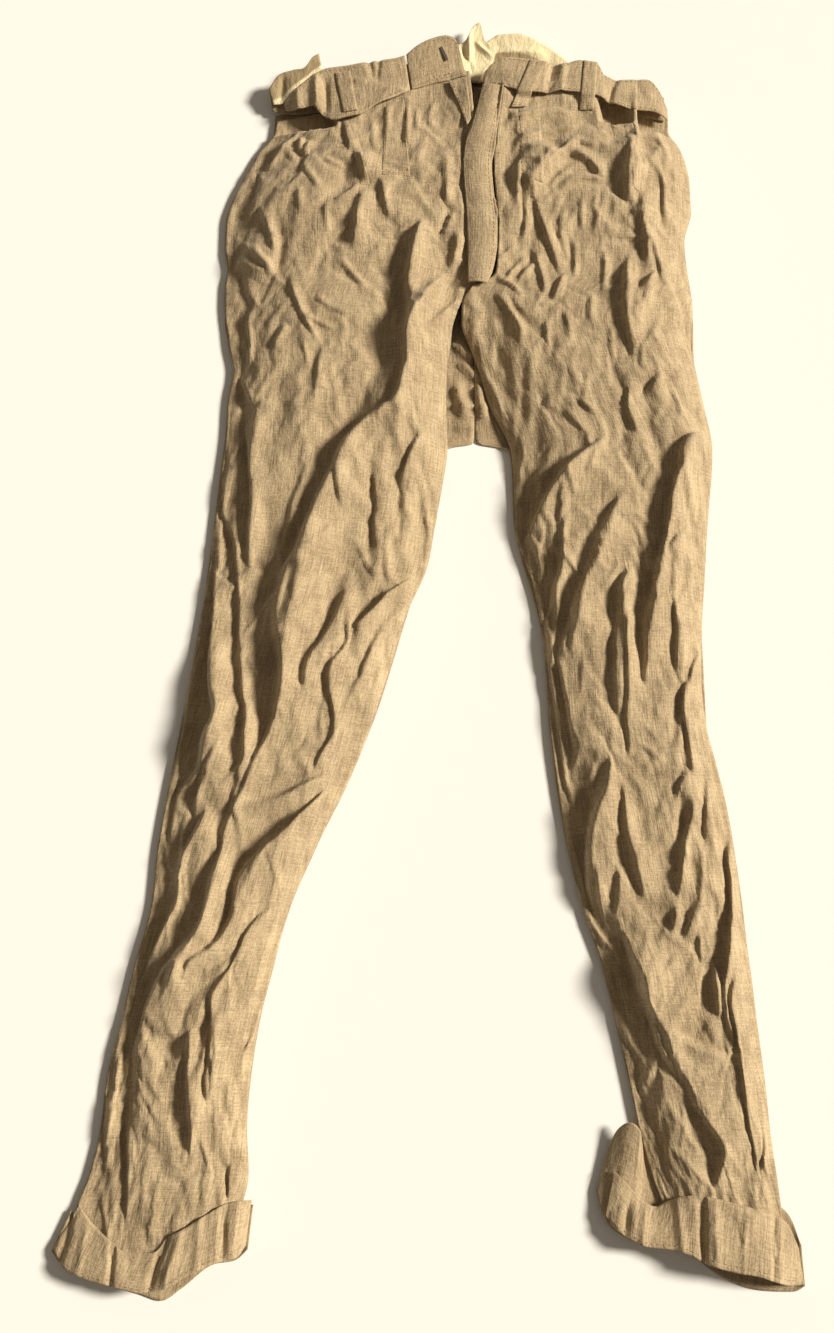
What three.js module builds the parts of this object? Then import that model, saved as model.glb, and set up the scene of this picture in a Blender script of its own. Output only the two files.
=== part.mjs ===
import * as THREE from "three";

// Dress trousers laid on their back. Millimetres: +X toward the wearer's left, +Y toward the waist,
// +Z up from the surface they rest on. West and east are the -X and +X edges of a piece.
const CLOTH_WALL = 1.5;
const TRIM_WALL = 1.0;
const SEAM_GAP = 0.35;
const BACK_EDGE_LIFT = 2.0;
const SIDE_SEAM_TOP = BACK_EDGE_LIFT + 2 * CLOTH_WALL + SEAM_GAP;
const LEAST_FRONT_TOP = 8.5;
const SEAM_FADE = 9;
const FOLD_GAIN = 1.7;
const LAYOUT_CENTRE_X = 0.5;
const LAYOUT_CENTRE_Y = 0.32;
const PLACKET_STEP = 2.6;
const LEAST_FRONT_UNDERSIDE = BACK_EDGE_LIFT + CLOTH_WALL + SEAM_GAP;

const table = (columns, rows) => {
  const keys = columns.split(" ");
  return rows.map((row) => Object.fromEntries(keys.map((key, i) => [key, row[i]])));
};
const clamp = (v, lo, hi) => Math.min(hi, Math.max(lo, v));
const mix = (a, b, k) => a + (b - a) * k;
const smooth = (k) => {
  const c = clamp(k, 0, 1);
  return c * c * (3 - 2 * c);
};

// Rows of a panel from waist to hem: its west and east edge points, and the height of the cloth at the
// west edge, in the middle and at the east edge.
const PANEL = "westX westY eastX eastY westZ middleZ eastZ";
const T = SIDE_SEAM_TOP;
const FRONT_RIGHT_ROWS = table(PANEL, [
  [-127, 425, 38, 462, 9, 17, 20],
  [-130, 409, 40, 436, 7, 20, 23],
  [-141, 396, 43, 412, T, 25, 25],
  [-152, 374, 48, 388, T, 28, 27],
  [-162, 352, 48, 362, T, 30, 27],
  [-168, 326, 48, 330, T, 30, 27],
  [-168, 302, 48, 300, T, 29, 27],
  [-165, 283, 48, 280, T, 28, 25],
  [-167, 268, 46, 266, T, 27, 23],
  [-167, 256, 35, 255, T, 27, 20],
  [-166, 242, 28, 242, T, 27, 15],
  [-164, 228, 23, 229, T, 27, 11],
  [-162, 213, 21, 213, T, 27, 8],
  [-158, 191, 18, 190, T, 26, 6],
  [-161, 165, 17, 160, T, 26, T],
  [-162, 132, 18, 124, T, 25, T],
  [-165, 100, 14, 92, T, 25, T],
  [-168, 62, 8, 58, T, 24, T],
  [-171, 22, 1, 20, T, 24, T],
  [-176, -20, -14, -16, T, 23, T],
  [-182, -62, -28, -62, T, 23, T],
  [-188, -105, -42, -108, T, 23, T],
  [-195, -150, -60, -154, T, 22, T],
  [-202, -202, -84, -204, T, 21, T],
  [-205, -246, -102, -248, T, 21, T],
  [-215, -288, -112, -288, T, 21, T],
  [-223, -328, -122, -330, T, 21, T],
  [-231, -366, -127, -364, T, 21, T],
  [-234, -404, -129, -402, T, 20, T],
  [-237, -434, -127, -434, T, 18, T],
  [-245, -462, -132, -460, T, 16, T],
  [-250, -488, -137, -486, T, 15, T],
]);
const FRONT_LEFT_ROWS = table(PANEL, [
  [68, 455, 209, 434, 22, 20, 9],
  [65, 430, 209, 415, 25, 22, 7],
  [61.6, 402, 219, 396, 27, 27, T],
  [57.6, 368, 225, 364, 27, 30, T],
  [59, 340, 225, 338, 27, 31, T],
  [61, 312, 218, 308, 27, 30, T],
  [60, 288, 219, 284, 26, 29, T],
  [55.6, 266, 221, 264, 25, 29, T],
  [37, 256, 222, 254, 22, 29, T],
  [30, 242, 222, 241, 17, 28, T],
  [30, 229, 220, 229, 13, 28, T],
  [36, 211, 219, 212, 9, 28, T],
  [43, 192, 221, 197, 7, 28, T],
  [53, 158, 227, 160, T, 27, T],
  [69, 120, 232, 122, T, 27, T],
  [71, 88, 229, 90, T, 26, T],
  [72, 50, 224, 48, T, 25, T],
  [84, 8, 220, 8, T, 24, T],
  [91, -32, 216, -32, T, 24, T],
  [94, -72, 214, -74, T, 23, T],
  [96, -116, 216, -114, T, 23, T],
  [101, -160, 226, -158, T, 22, T],
  [107, -202, 232, -202, T, 22, T],
  [117, -248, 235, -248, T, 22, T],
  [130, -288, 239, -290, T, 22, T],
  [139, -330, 242, -332, T, 22, T],
  [146, -366, 245, -370, T, 21, T],
  [153, -404, 247, -408, T, 20, T],
  [160, -432, 250, -440, T, 18, T],
  [168, -456, 252, -464, T, 16, T],
  [178, -480, 254, -490, T, 15, T],
]);
const BACK = "westX westY eastX eastY";
const BACK_RIGHT_ROWS = table(BACK, [
  [-129, 432, 40, 474],
  [-130, 409, 40, 436],
  [-141, 396, 40, 408],
  [-162, 352, 40, 358],
  [-168, 314, 40, 312],
  [-165, 283, 40, 282],
  [-166, 240, 40, 240],
  [-158, 191, 40, 190],
  [-161, 155, 40, 150],
  [-162, 132, 39, 129],
  [-163, 122, 17, 122],
  [-168, 62, 8, 58],
  [-176, -20, -14, -16],
  [-188, -105, -42, -108],
  [-202, -202, -84, -204],
  [-205, -246, -102, -248],
  [-223, -328, -122, -330],
  [-234, -404, -129, -402],
  [-237, -434, -127, -434],
  [-245, -462, -132, -460],
  [-250, -488, -137, -486],
]);
const BACK_LEFT_ROWS = table(BACK, [
  [40.4, 474, 209, 440],
  [40.4, 436, 209, 415],
  [40.4, 402, 219, 396],
  [40.4, 358, 225, 352],
  [40.4, 308, 218, 306],
  [40.4, 247, 222, 246],
  [40.4, 200, 221, 198],
  [40.4, 160, 227, 160],
  [41, 130, 231, 132],
  [68, 120, 232, 120],
  [72, 50, 224, 48],
  [91, -32, 216, -32],
  [96, -116, 216, -114],
  [107, -202, 232, -202],
  [130, -288, 239, -290],
  [146, -366, 245, -370],
  [153, -404, 247, -408],
  [160, -432, 250, -440],
  [168, -456, 252, -464],
  [178, -480, 254, -490],
]);

// Folds: a curve from one point by another to a third, listed downward or eastward. "reachA" is the
// half width on its west or lower side, "reachB" on its east or upper side, "high" the crest height.
const FOLD = "fromX fromY byX byY toX toY reachA reachB high";
const FRONT_RIGHT_FOLDS = table(FOLD, [
  [6, 268, -34, 160, -88, 62, 26, 46, 13],
  [-78, 82, -112, 0, -106, -116, 18, 34, 12],
  [-90, 110, -112, 46, -128, -74, 9, 9, 6],
  [-137, 182, -136, 90, -141, -16, 10, 14, 7],
  [-158, 194, -140, 142, -139, 16, 6, 7, -7],
  [-168, 76, -154, 44, -145, -24, 5, 7, -6],
  [-172, 46, -163, 4, -172, -66, 5, 7, -5],
  [-158, -26, -156, -96, -172, -142, 20, 12, 9],
  [-150, -108, -166, -146, -179, -182, 9, 6, 5],
  [-182, -170, -180, -232, -198, -276, 10, 8, 6],
  [-148, -196, -156, -254, -208, -340, 16, 20, 12],
  [-78, -160, -130, -206, -147, -276, 14, 24, 9],
  [-66, -146, -110, -158, -140, -196, 20, 8, 5],
  [-137, -84, -133, -148, -151, -198, 7, 16, 6],
  [-54, 6, -66, -32, -88, -66, 12, 14, 5],
  [-62, -26, -82, -76, -69, -124, 5, 12, 4],
  [-6, 22, -44, -20, -62, -56, 9, 22, 5],
  [-164, 292, -142, 268, -116, 274, 16, 34, 6],
  [-66, 384, -60, 346, -90, 338, 9, 11, -9],
  [-52, 346, -58, 320, -58, 288, 5, 14, 4],
  [-62, 307, -88, 302, -93, 246, 5, 18, -7],
  [-30, 346, -28, 330, -30, 306, 5, 8, -3],
  [18, 384, 14, 330, 22, 274, 5, 7, -4],
  [30, 264, 10, 262, -2, 220, 7, 11, -6],
  [34, 250, 14, 236, 2, 208, 6, 12, 4],
  [-104, 402, -112, 386, -104, 372, 6, 14, -4],
  [-146, 388, -124, 378, -118, 396, 9, 9, -5],
  [-150, 366, -142, 352, -146, 344, 7, 9, -4],
  [-128, 338, -118, 310, -122, 282, 6, 12, -2.5],
  [-110, 268, -98, 230, -82, 204, 6, 9, -4],
  [-80, 280, -66, 262, -52, 256, 5, 9, -3],
  [-150, 222, -144, 200, -140, 184, 6, 9, -4],
  [-120, 224, -122, 208, -128, 200, 7, 7, -3.5],
  [-84, 206, -86, 172, -92, 146, 6, 12, 4],
  [-92, 150, -82, 138, -66, 140, 6, 7, -5],
  [-50, 118, -72, 84, -62, 56, 6, 12, -3.5],
  [-42, 96, -38, 64, -38, 30, 6, 8, -3],
  [-58, 56, -80, 42, -98, 20, 7, 9, 3.5],
  [-30, 42, -50, 14, -84, 10, 7, 8, 3],
  [-16, -8, -44, -54, -62, -96, 8, 14, 4],
  [-88, -120, -78, -124, -66, -150, 8, 8, -3.5],
  [-104, -210, -122, -244, -134, -264, 7, 10, -4],
  [-212, -332, -216, -400, -214, -474, 6, 8, -8],
  [-226, -318, -226, -390, -230, -440, 7, 7, 5],
  [-128, -262, -160, -306, -192, -384, 20, 8, 6],
  [-160, -332, -163, -366, -168, -424, 18, 9, 7],
  [-153, -318, -148, -352, -158, -398, 7, 10, 5],
  [-150, -296, -136, -306, -122, -304, 6, 6, -3.5],
  [-152, -336, -138, -342, -126, -334, 5, 6, -4],
  [-154, -372, -140, -380, -130, -376, 6, 6, -4],
  [-142, -428, -140, -440, -142, -462, 5, 6, -5],
  [-200, -470, -190, -462, -168, -464, 5, 6, 3],
  [-236, -446, -230, -462, -222, -478, 6, 6, 4],
]);
const FRONT_LEFT_FOLDS = table(FOLD, [
  [142, 122, 104, 98, 76, 40, 14, 28, 9],
  [154, 74, 130, 12, 106, -66, 11, 20, 8],
  [109, 48, 109, -6, 96, -66, 10, 9, 6],
  [160, 18, 151, -26, 148, -108, 10, 16, 7],
  [228, 130, 199, 124, 198, 66, 13, 16, 9],
  [200, 92, 186, 12, 168, -66, 15, 20, 10],
  [168, 288, 157, 236, 173, 188, 5, 14, 5],
  [193, 273, 176, 258, 170, 204, 5, 10, 4],
  [185, 410, 190, 372, 181, 328, 5, 9, -6],
  [168, 392, 160, 352, 166, 322, 8, 9, -8],
  [176, 424, 182, 384, 172, 328, 6, 5, 6],
  [74, 388, 81, 342, 78, 298, 14, 6, 4],
  [84, 348, 98, 300, 110, 258, 5, 7, -4],
  [112, 322, 110, 298, 118, 272, 5, 8, -3.5],
  [66, 398, 100, 428, 152, 411, 9, 8, -9],
  [72, 388, 104, 408, 134, 402, 9, 7, 6],
  [96, 360, 108, 384, 132, 400, 8, 8, -7],
  [120, 382, 136, 380, 152, 350, 9, 9, 5],
  [102, 348, 112, 356, 126, 366, 4, 5, -5],
  [110, 338, 122, 362, 152, 350, 6, 5, -5],
  [136, 366, 144, 374, 152, 362, 7, 6, -5],
  [150, 396, 162, 388, 174, 408, 8, 7, -6],
  [150, 346, 146, 330, 140, 318, 7, 9, -4],
  [152, 300, 166, 294, 180, 302, 7, 8, -3],
  [134, 250, 136, 236, 134, 222, 5, 8, -4],
  [62, 282, 80, 268, 92, 290, 5, 7, -3.5],
  [52, 256, 72, 238, 79, 202, 8, 8, 4],
  [63, 234, 66, 208, 54, 186, 8, 10, -7],
  [88, 150, 102, 162, 108, 174, 8, 6, -4],
  [108, 168, 120, 164, 134, 150, 6, 7, -5],
  [156, 178, 164, 152, 166, 132, 5, 8, -4],
  [182, 176, 180, 160, 172, 152, 7, 8, -4],
  [170, 140, 186, 148, 198, 146, 6, 7, -3],
  [186, 220, 196, 226, 208, 232, 8, 7, -3],
  [84, 36, 92, 22, 90, -2, 8, 8, 4],
  [142, -130, 118, -176, 125, -252, 11, 20, 9],
  [150, -148, 145, -192, 164, -244, 5, 22, 4],
  [210, -148, 194, -196, 183, -248, 10, 9, 6],
  [206, -200, 205, -238, 196, -268, 4, 4, 3],
  [213, -148, 213, -178, 208, -206, 4, 4, -5],
  [233, -186, 230, -240, 216, -324, 12, 12, 9],
  [226, -292, 219, -332, 229, -398, 5, 5, 5],
  [219, -296, 224, -344, 227, -396, 4, 4, -6],
  [148, -262, 156, -332, 214, -414, 10, 32, 8],
  [184, -376, 202, -412, 204, -450, 7, 10, -8],
  [186, -374, 182, -410, 177, -446, 4, 7, 4],
  [156, -266, 176, -258, 196, -250, 7, 6, -5],
  [176, -334, 200, -346, 222, -354, 6, 6, -5],
  [202, -260, 203, -300, 207, -328, 4, 7, -6],
  [212, -284, 214, -304, 213, -328, 4, 4, 4],
  [200, -68, 197, -104, 186, -136, 10, 5, 5],
  [156, -52, 151, -92, 155, -138, 5, 7, -4],
  [112, -62, 106, -100, 114, -134, 6, 8, -4],
  [96, -76, 101, -140, 108, -206, 5, 7, -5],
  [138, -216, 140, -234, 136, -252, 7, 8, -4],
  [146, -250, 152, -268, 140, -288, 8, 10, -6],
  [170, -300, 180, -284, 188, -286, 7, 6, -4],
  [146, -356, 154, -362, 152, -378, 8, 7, -5],
  [232, -400, 236, -424, 240, -446, 5, 6, -5],
  [238, -420, 246, -430, 250, -446, 4, 5, 4],
  [207, -430, 214, -440, 232, -436, 6, 6, -5],
]);
const BACK_FOLDS = table(FOLD, [
  [-20, 330, -70, 210, -104, 60, 14, 14, 1.4],
  [-120, 250, -128, 120, -146, -40, 12, 12, 1.2],
  [-70, 10, -110, -120, -160, -260, 12, 12, 1.4],
  [-150, -240, -176, -340, -180, -430, 12, 12, 1.3],
  [110, 330, 150, 220, 158, 80, 14, 14, 1.4],
  [190, 240, 186, 100, 170, -60, 12, 12, 1.2],
  [130, 20, 150, -120, 160, -260, 12, 12, 1.4],
  [200, -180, 200, -320, 216, -430, 12, 12, 1.3],
]);

// Curves and folds.
const FOLD_STEPS = 10;
function foldLine(fold) {
  const line = [];
  for (let i = 0; i <= FOLD_STEPS; i += 1) {
    const k = i / FOLD_STEPS;
    line.push([
      (1 - k) * (1 - k) * fold.fromX + 2 * k * (1 - k) * fold.byX + k * k * fold.toX,
      (1 - k) * (1 - k) * fold.fromY + 2 * k * (1 - k) * fold.byY + k * k * fold.toY,
    ]);
  }
  return line;
}
function foldHeight(fold, line, x, y) {
  let least = Infinity;
  let side = 1;
  let along = 0;
  for (let i = 0; i < FOLD_STEPS; i += 1) {
    const [ax, ay] = line[i];
    const dx = line[i + 1][0] - ax;
    const dy = line[i + 1][1] - ay;
    const k = clamp(((x - ax) * dx + (y - ay) * dy) / (dx * dx + dy * dy), 0, 1);
    const away = Math.hypot(x - ax - k * dx, y - ay - k * dy);
    if (away < least) {
      least = away;
      side = dx * (y - ay) - dy * (x - ax);
      along = (i + k) / FOLD_STEPS;
    }
  }
  const q = least / (side > 0 ? fold.reachB : fold.reachA);
  if (q >= 1) return 0;
  const shape = fold.high > 0 ? (1 - q ** 1.35) ** 1.5 : (1 - q) ** 1.4;
  return FOLD_GAIN * fold.high * shape * smooth(Math.min(along, 1 - along) / 0.28);
}
function foldField(folds) {
  const lines = folds.map(foldLine);
  return (x, y) => folds.reduce((sum, fold, i) => sum + foldHeight(fold, lines[i], x, y), 0);
}

// A row between the stations of a table, each column smooth along the piece and never past its stations.
// Stations that stand close together get more of the rows.
function stations(rows, keys) {
  const place = [0];
  for (let i = 1; i < rows.length; i += 1) {
    const a = rows[i - 1];
    const b = rows[i];
    const dx = (b[keys[0]] + b[keys[2]] - a[keys[0]] - a[keys[2]]) / 2;
    const dy = (b[keys[1]] + b[keys[3]] - a[keys[1]] - a[keys[3]]) / 2;
    place.push(place[i - 1] + Math.hypot(dx, dy) ** 0.65);
  }
  const whole = place[place.length - 1];
  const rise = (key, i) => (rows[i + 1][key] - rows[i][key]) / (place[i + 1] - place[i]);
  const slope = (key, i) => {
    if (i === 0) return rise(key, 0);
    if (i === rows.length - 1) return rise(key, i - 1);
    const before = rise(key, i - 1);
    const after = rise(key, i);
    if (before * after <= 0) return 0;
    return Math.sign(before) * Math.min(Math.abs(before + after) / 2, 3 * Math.abs(before), 3 * Math.abs(after));
  };
  return (v) => {
    const at = clamp(v, 0, 1) * whole;
    let i = 0;
    while (i < rows.length - 2 && place[i + 1] < at) i += 1;
    const span = place[i + 1] - place[i];
    const k = (at - place[i]) / span;
    const k2 = k * k;
    const k3 = k2 * k;
    const out = {};
    for (const key of Object.keys(rows[0])) {
      out[key] = (2 * k3 - 3 * k2 + 1) * rows[i][key] + (k3 - 2 * k2 + k) * slope(key, i) * span
        + (3 * k2 - 2 * k3) * rows[i + 1][key] + (k3 - k2) * slope(key, i + 1) * span;
    }
    return out;
  };
}

// A closed wall of cloth over a grid: u runs west to east, v from the upper edge to the lower one.
function wall(name, across, along, point, top, bottom, material) {
  const upper = [];
  const lower = [];
  for (let j = 0; j <= along; j += 1) {
    for (let i = 0; i <= across; i += 1) {
      const u = i / across;
      const v = j / along;
      const [x, y] = point(u, v);
      upper.push([x, y, top(x, y, u, v)]);
    }
  }
  const at = (i, j) => j * (across + 1) + i;
  for (let j = 0; j <= along; j += 1) {
    for (let i = 0; i <= across; i += 1) {
      const p = upper[at(i, j)];
      const e = upper[at(Math.min(i + 1, across), j)];
      const w = upper[at(Math.max(i - 1, 0), j)];
      const n = upper[at(i, Math.max(j - 1, 0))];
      const s = upper[at(i, Math.min(j + 1, along))];
      const slope = Math.hypot((e[2] - w[2]) / Math.hypot(e[0] - w[0], e[1] - w[1]),
        (n[2] - s[2]) / Math.hypot(n[0] - s[0], n[1] - s[1]));
      lower.push([p[0], p[1], bottom(p, clamp(Math.hypot(1, slope), 1, 2.2))]);
    }
  }
  const points = upper.concat(lower);
  const under = upper.length;
  const faces = [];
  const quad = (a, b, c, d) => faces.push(a, b, c, c, b, d);
  for (let j = 0; j < along; j += 1) {
    for (let i = 0; i < across; i += 1) {
      quad(at(i, j), at(i, j + 1), at(i + 1, j), at(i + 1, j + 1));
      quad(under + at(i, j), under + at(i + 1, j), under + at(i, j + 1), under + at(i + 1, j + 1));
    }
  }
  for (let i = 0; i < across; i += 1) {
    quad(at(i, 0), at(i + 1, 0), under + at(i, 0), under + at(i + 1, 0));
    quad(at(i + 1, along), at(i, along), under + at(i + 1, along), under + at(i, along));
  }
  for (let j = 0; j < along; j += 1) {
    quad(at(0, j + 1), at(0, j), under + at(0, j + 1), under + at(0, j));
    quad(at(across, j), at(across, j + 1), under + at(across, j), under + at(across, j + 1));
  }
  const geometry = new THREE.BufferGeometry();
  geometry.setAttribute("position", new THREE.Float32BufferAttribute(points.flat(), 3));
  geometry.setIndex(faces);
  const mesh = new THREE.Mesh(geometry, material);
  mesh.name = name;
  mesh.userData = { upper, across, along };
  return mesh;
}
const thinUnder = (p, lean) => p[2] - CLOTH_WALL * lean;

// A panel with straight rows between its two edges.
function panel(rows) {
  const row = stations(rows, ["westX", "westY", "eastX", "eastY"]);
  const point = (u, v) => {
    const r = row(v);
    return [mix(r.westX, r.eastX, u), mix(r.westY, r.eastY, u)];
  };
  return { row, point };
}
const shoulder = (k) => 1 - (1 - clamp(k, 0, 1)) ** 2.3;
function frontTop(shape, folds, lowered) {
  const field = foldField(folds);
  return (x, y, u, v) => {
    const r = shape.row(v);
    const west = (r.middleZ - r.westZ) * (1 - shoulder(u / 0.3));
    const east = (r.middleZ - r.eastZ) * (1 - shoulder((1 - u) / 0.3));
    const base = r.middleZ - west - east;
    const wide = Math.hypot(r.eastX - r.westX, r.eastY - r.westY);
    const fadeWest = r.westZ > 15 ? 1 : smooth((u * wide) / SEAM_FADE);
    const fadeEast = r.eastZ > 15 ? 1 : smooth(((1 - u) * wide) / SEAM_FADE);
    const crest = base + field(x, y) * fadeWest * fadeEast * mix(0.6, 1, shoulder(v / 0.06));
    return Math.max(crest, Math.min(base, LEAST_FRONT_TOP)) - lowered(x, y);
  };
}

// The height of a piece's upper side at a place, and the highest of it close round that place.
function surfaceOf(mesh) {
  const { upper, across, along } = mesh.userData;
  const at = (i, j) => upper[j * (across + 1) + i];
  const corners = [];
  for (let j = 0; j < along; j += 1) {
    for (let i = 0; i < across; i += 1) {
      corners.push([at(i, j), at(i, j + 1), at(i + 1, j)]);
      corners.push([at(i + 1, j + 1), at(i + 1, j), at(i, j + 1)]);
    }
  }
  return (x, y) => {
    for (const [a, b, c] of corners) {
      const area = (b[0] - a[0]) * (c[1] - a[1]) - (c[0] - a[0]) * (b[1] - a[1]);
      const p = ((x - a[0]) * (c[1] - a[1]) - (c[0] - a[0]) * (y - a[1])) / area;
      const q = ((b[0] - a[0]) * (y - a[1]) - (x - a[0]) * (b[1] - a[1])) / area;
      if (p >= 0 && q >= 0 && p + q <= 1) return a[2] + p * (b[2] - a[2]) + q * (c[2] - a[2]);
    }
    return -Infinity;
  };
}
function highestOf(meshes, near) {
  const surfaces = meshes.map(surfaceOf);
  const steps = [[0, 0], [near, 0], [-near, 0], [0, near], [0, -near],
    [near, near], [-near, near], [near, -near], [-near, -near]];
  return (x, y) => Math.max(...surfaces.flatMap((on) => steps.map(([dx, dy]) => on(x + dx, y + dy))));
}

// Cloths and metal.
function linen(shade) {
  return new THREE.MeshStandardMaterial({ color: shade, roughness: 0.92, metalness: 0 });
}
const LINEN = linen(0xb59a6e);
const LINEN_BACK = linen(0xa98f66);
const CREAM = linen(0xeadcb4);
const STEEL = new THREE.MeshStandardMaterial({ color: 0xa9a49a, roughness: 0.4, metalness: 1 });

const group = new THREE.Group();
group.name = "dress_pants";
const keep = (mesh) => {
  group.add(mesh);
  return mesh;
};

// Front panels. The right front dips where it passes under the placket.
const frontUnder = (p, lean) => Math.max(p[2] - CLOTH_WALL * lean, Math.min(p[2] - 1, LEAST_FRONT_UNDERSIDE));
const underPlacket = (x, y) => PLACKET_STEP * smooth((x - 30) / 4) * smooth((432 - y) / 12)
  * smooth((y - 250) / 8);
const rightShape = panel(FRONT_RIGHT_ROWS);
const leftShape = panel(FRONT_LEFT_ROWS);
const frontRight = keep(wall("front_right", 22, 45, rightShape.point,
  frontTop(rightShape, FRONT_RIGHT_FOLDS, underPlacket), frontUnder, LINEN));
const frontLeft = keep(wall("front_left", 22, 45, leftShape.point,
  frontTop(leftShape, FRONT_LEFT_FOLDS, () => 0), frontUnder, LINEN));
const onFronts = highestOf([frontRight, frontLeft], 1.8);

// Back panels rest flat. Their side edges turn up a little to meet the fronts, and the hem lies on the
// turn-up.
function backPanel(name, rows, seat, hemStart) {
  const shape = panel(rows);
  const field = foldField(BACK_FOLDS);
  const under = (x, y, u, v) => {
    const r = shape.row(v);
    const wide = r.eastX - r.westX;
    const west = seat === "west" && y > 124 ? 0 : 1 - smooth((u * wide) / 11);
    const east = seat === "east" && y > 124 ? 0 : 1 - smooth(((1 - u) * wide) / 11);
    const clear = smooth((u * wide - 12) / 10) * smooth(((1 - u) * wide - 12) / 10);
    const hem = smooth((hemStart - y) / 12);
    return BACK_EDGE_LIFT * Math.max(west, east, hem) + field(x, y) * clear * (1 - hem);
  };
  const top = (x, y, u, v) => under(x, y, u, v) + CLOTH_WALL;
  return keep(wall(name, 10, 26, shape.point, top, (p) => p[2] - CLOTH_WALL, LINEN_BACK));
}
backPanel("back_right", BACK_RIGHT_ROWS, "east", -440);
backPanel("back_left", BACK_LEFT_ROWS, "west", -398);

// Strips: stations from west to east, each with its upper and lower point and their heights.
const STRIP = "upX upY downX downY upZ downZ";
const nothing = () => -Infinity;
function strip(name, rows, across, along, folds, material, over, thick = CLOTH_WALL) {
  const row = stations(table(STRIP, rows), ["upX", "upY", "downX", "downY"]);
  const field = foldField(table(FOLD, folds));
  const point = (u, v) => {
    const r = row(u);
    return [mix(r.upX, r.downX, v), mix(r.upY, r.downY, v)];
  };
  const top = (x, y, u, v) => {
    const r = row(u);
    const own = mix(r.upZ, r.downZ, v) + field(x, y);
    return Math.max(own, over(x, y) + thick + SEAM_GAP);
  };
  return keep(wall(name, across, along, point, top, (p) => p[2] - thick, material));
}

// Front waistband: a smooth tab and a gathered part on the right, a longer part on the left.
const bandRight = strip("waistband_right", [
  [-121, 438, -119, 431, 12, 11],
  [-112, 447, -108, 428, 17, 17],
  [-100, 458, -97, 430, 19, 20],
  [-88, 466, -88, 421, 20, 22],
  [-77, 468, -77, 414, 21, 24],
  [-66, 469, -66, 416, 22, 26],
  [-52, 471, -52, 419, 23, 27],
  [-40, 473, -40, 428, 23, 27],
  [-28, 474, -26, 435, 24, 26],
  [-17.2, 477, -12.6, 442, 24, 25],
], 30, 5, [
  [-108, 452, -110, 438, -106, 422, 5, 5, 2.4],
  [-94, 468, -92, 444, -92, 418, 6, 6, 3],
  [-86, 460, -84, 440, -84, 412, 4, 5, -2.5],
  [-62, 452, -56, 450, -48, 450, 5, 5, 1.2],
  [-50, 480, -46, 466, -44, 448, 4, 4, -2.2],
  [-39, 480, -41, 464, -41, 446, 4, 4, -2.2],
  [-36, 438, -28, 446, -14, 440, 5, 5, 2],
], LINEN, onFronts);
strip("waistband_tab_right", [
  [-16, 478, -11.2, 445, 24, 20],
  [-6, 486, -2, 448, 26, 21],
  [6, 492, 8, 451, 27, 21],
  [18, 495, 20, 453, 27, 21],
  [26, 492, 29, 455, 26, 21],
  [29.5, 484, 36, 456, 25, 21],
], 10, 4, [
  [-14, 470, 2, 480, 16, 484, 8, 8, 0.8],
], LINEN, onFronts);
const bandLeft = strip("waistband_left", [
  [50, 458, 50, 447, 24, 25],
  [58, 468, 60, 446, 26, 27],
  [72, 473, 72, 442, 27, 29],
  [88, 471, 85, 438, 28, 30],
  [104, 468, 99, 438, 27, 29],
  [118, 468, 116, 440, 25, 27],
  [133, 472, 133, 439, 24, 26],
  [148, 470, 148, 436, 22, 25],
  [154, 460, 158, 432, 20, 23],
  [168, 457, 168, 429, 19, 22],
  [180, 458, 178, 427, 18, 20],
  [192, 459, 190, 427, 16, 18],
  [201, 450, 200, 425, 14, 16],
  [208, 433, 208, 421, 11, 12],
], 33, 5, [
  [112, 476, 108, 456, 104, 432, 5, 8, -5],
  [120, 472, 117, 452, 116, 434, 5, 5, 2],
  [168, 462, 158, 446, 156, 426, 6, 5, -4],
  [172, 432, 186, 446, 198, 440, 5, 6, 2.4],
  [184, 464, 180, 448, 188, 438, 5, 5, -1.5],
], LINEN, onFronts);

// Back waistband with the cream facing on its inside.
const bandBack = strip("waistband_back", [
  [-134, 452, -131, 434, 9, 7],
  [-124, 464, -120, 432, 8, 5.4],
  [-92, 470, -90, 434, 5.4, 5.4],
  [-40, 476, -40, 444, 5.4, 5.4],
  [10, 490, 10, 455, 5.4, 5.4],
  [44, 500, 44, 463, 5.4, 5.4],
  [75, 506, 75, 462, 6, 5.4],
  [100, 499, 98, 456, 6, 5.4],
  [118, 487, 114, 450, 5.4, 5.4],
  [140, 470, 138, 442, 5.4, 5.4],
  [180, 458, 178, 432, 6, 5.4],
  [206, 446, 206, 424, 9, 7],
], 20, 3, [], LINEN_BACK, nothing);
const onBandBack = highestOf([bandBack], 1.8);
strip("facing_right", [
  [-134, 451, -130, 437.4, 14, 11],
  [-126, 463, -121.6, 438.7, 16, 11.6],
  [-114, 467, -112.6, 447.3, 18, 16],
  [-104, 468, -102.4, 456.5, 20, 18],
  [-96, 478, -94.8, 462.1, 21, 19],
  [-91, 481, -88.3, 466.7, 21, 20],
], 9, 4, [
  [-122, 466, -122, 452, -124, 436, 4, 4, -2],
], CREAM, onBandBack);
const facingBack = strip("facing_back", [
  [54, 500, 54, 476, 12, 9],
  [66, 506, 66, 474, 14, 9],
  [80, 506, 80, 472, 15, 9],
  [94, 502, 94, 468, 14, 9],
  [108, 494, 106, 462, 12, 9],
  [122, 483, 118, 458, 10, 8.5],
  [134, 471, 130, 454, 9, 8.5],
], 12, 4, [
  [58, 488, 84, 492, 112, 484, 7, 7, 2.4],
  [66, 474, 96, 480, 128, 470, 6, 6, -1.5],
], CREAM, onBandBack);
const onBackInside = highestOf([bandBack, facingBack], 1.8);
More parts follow.
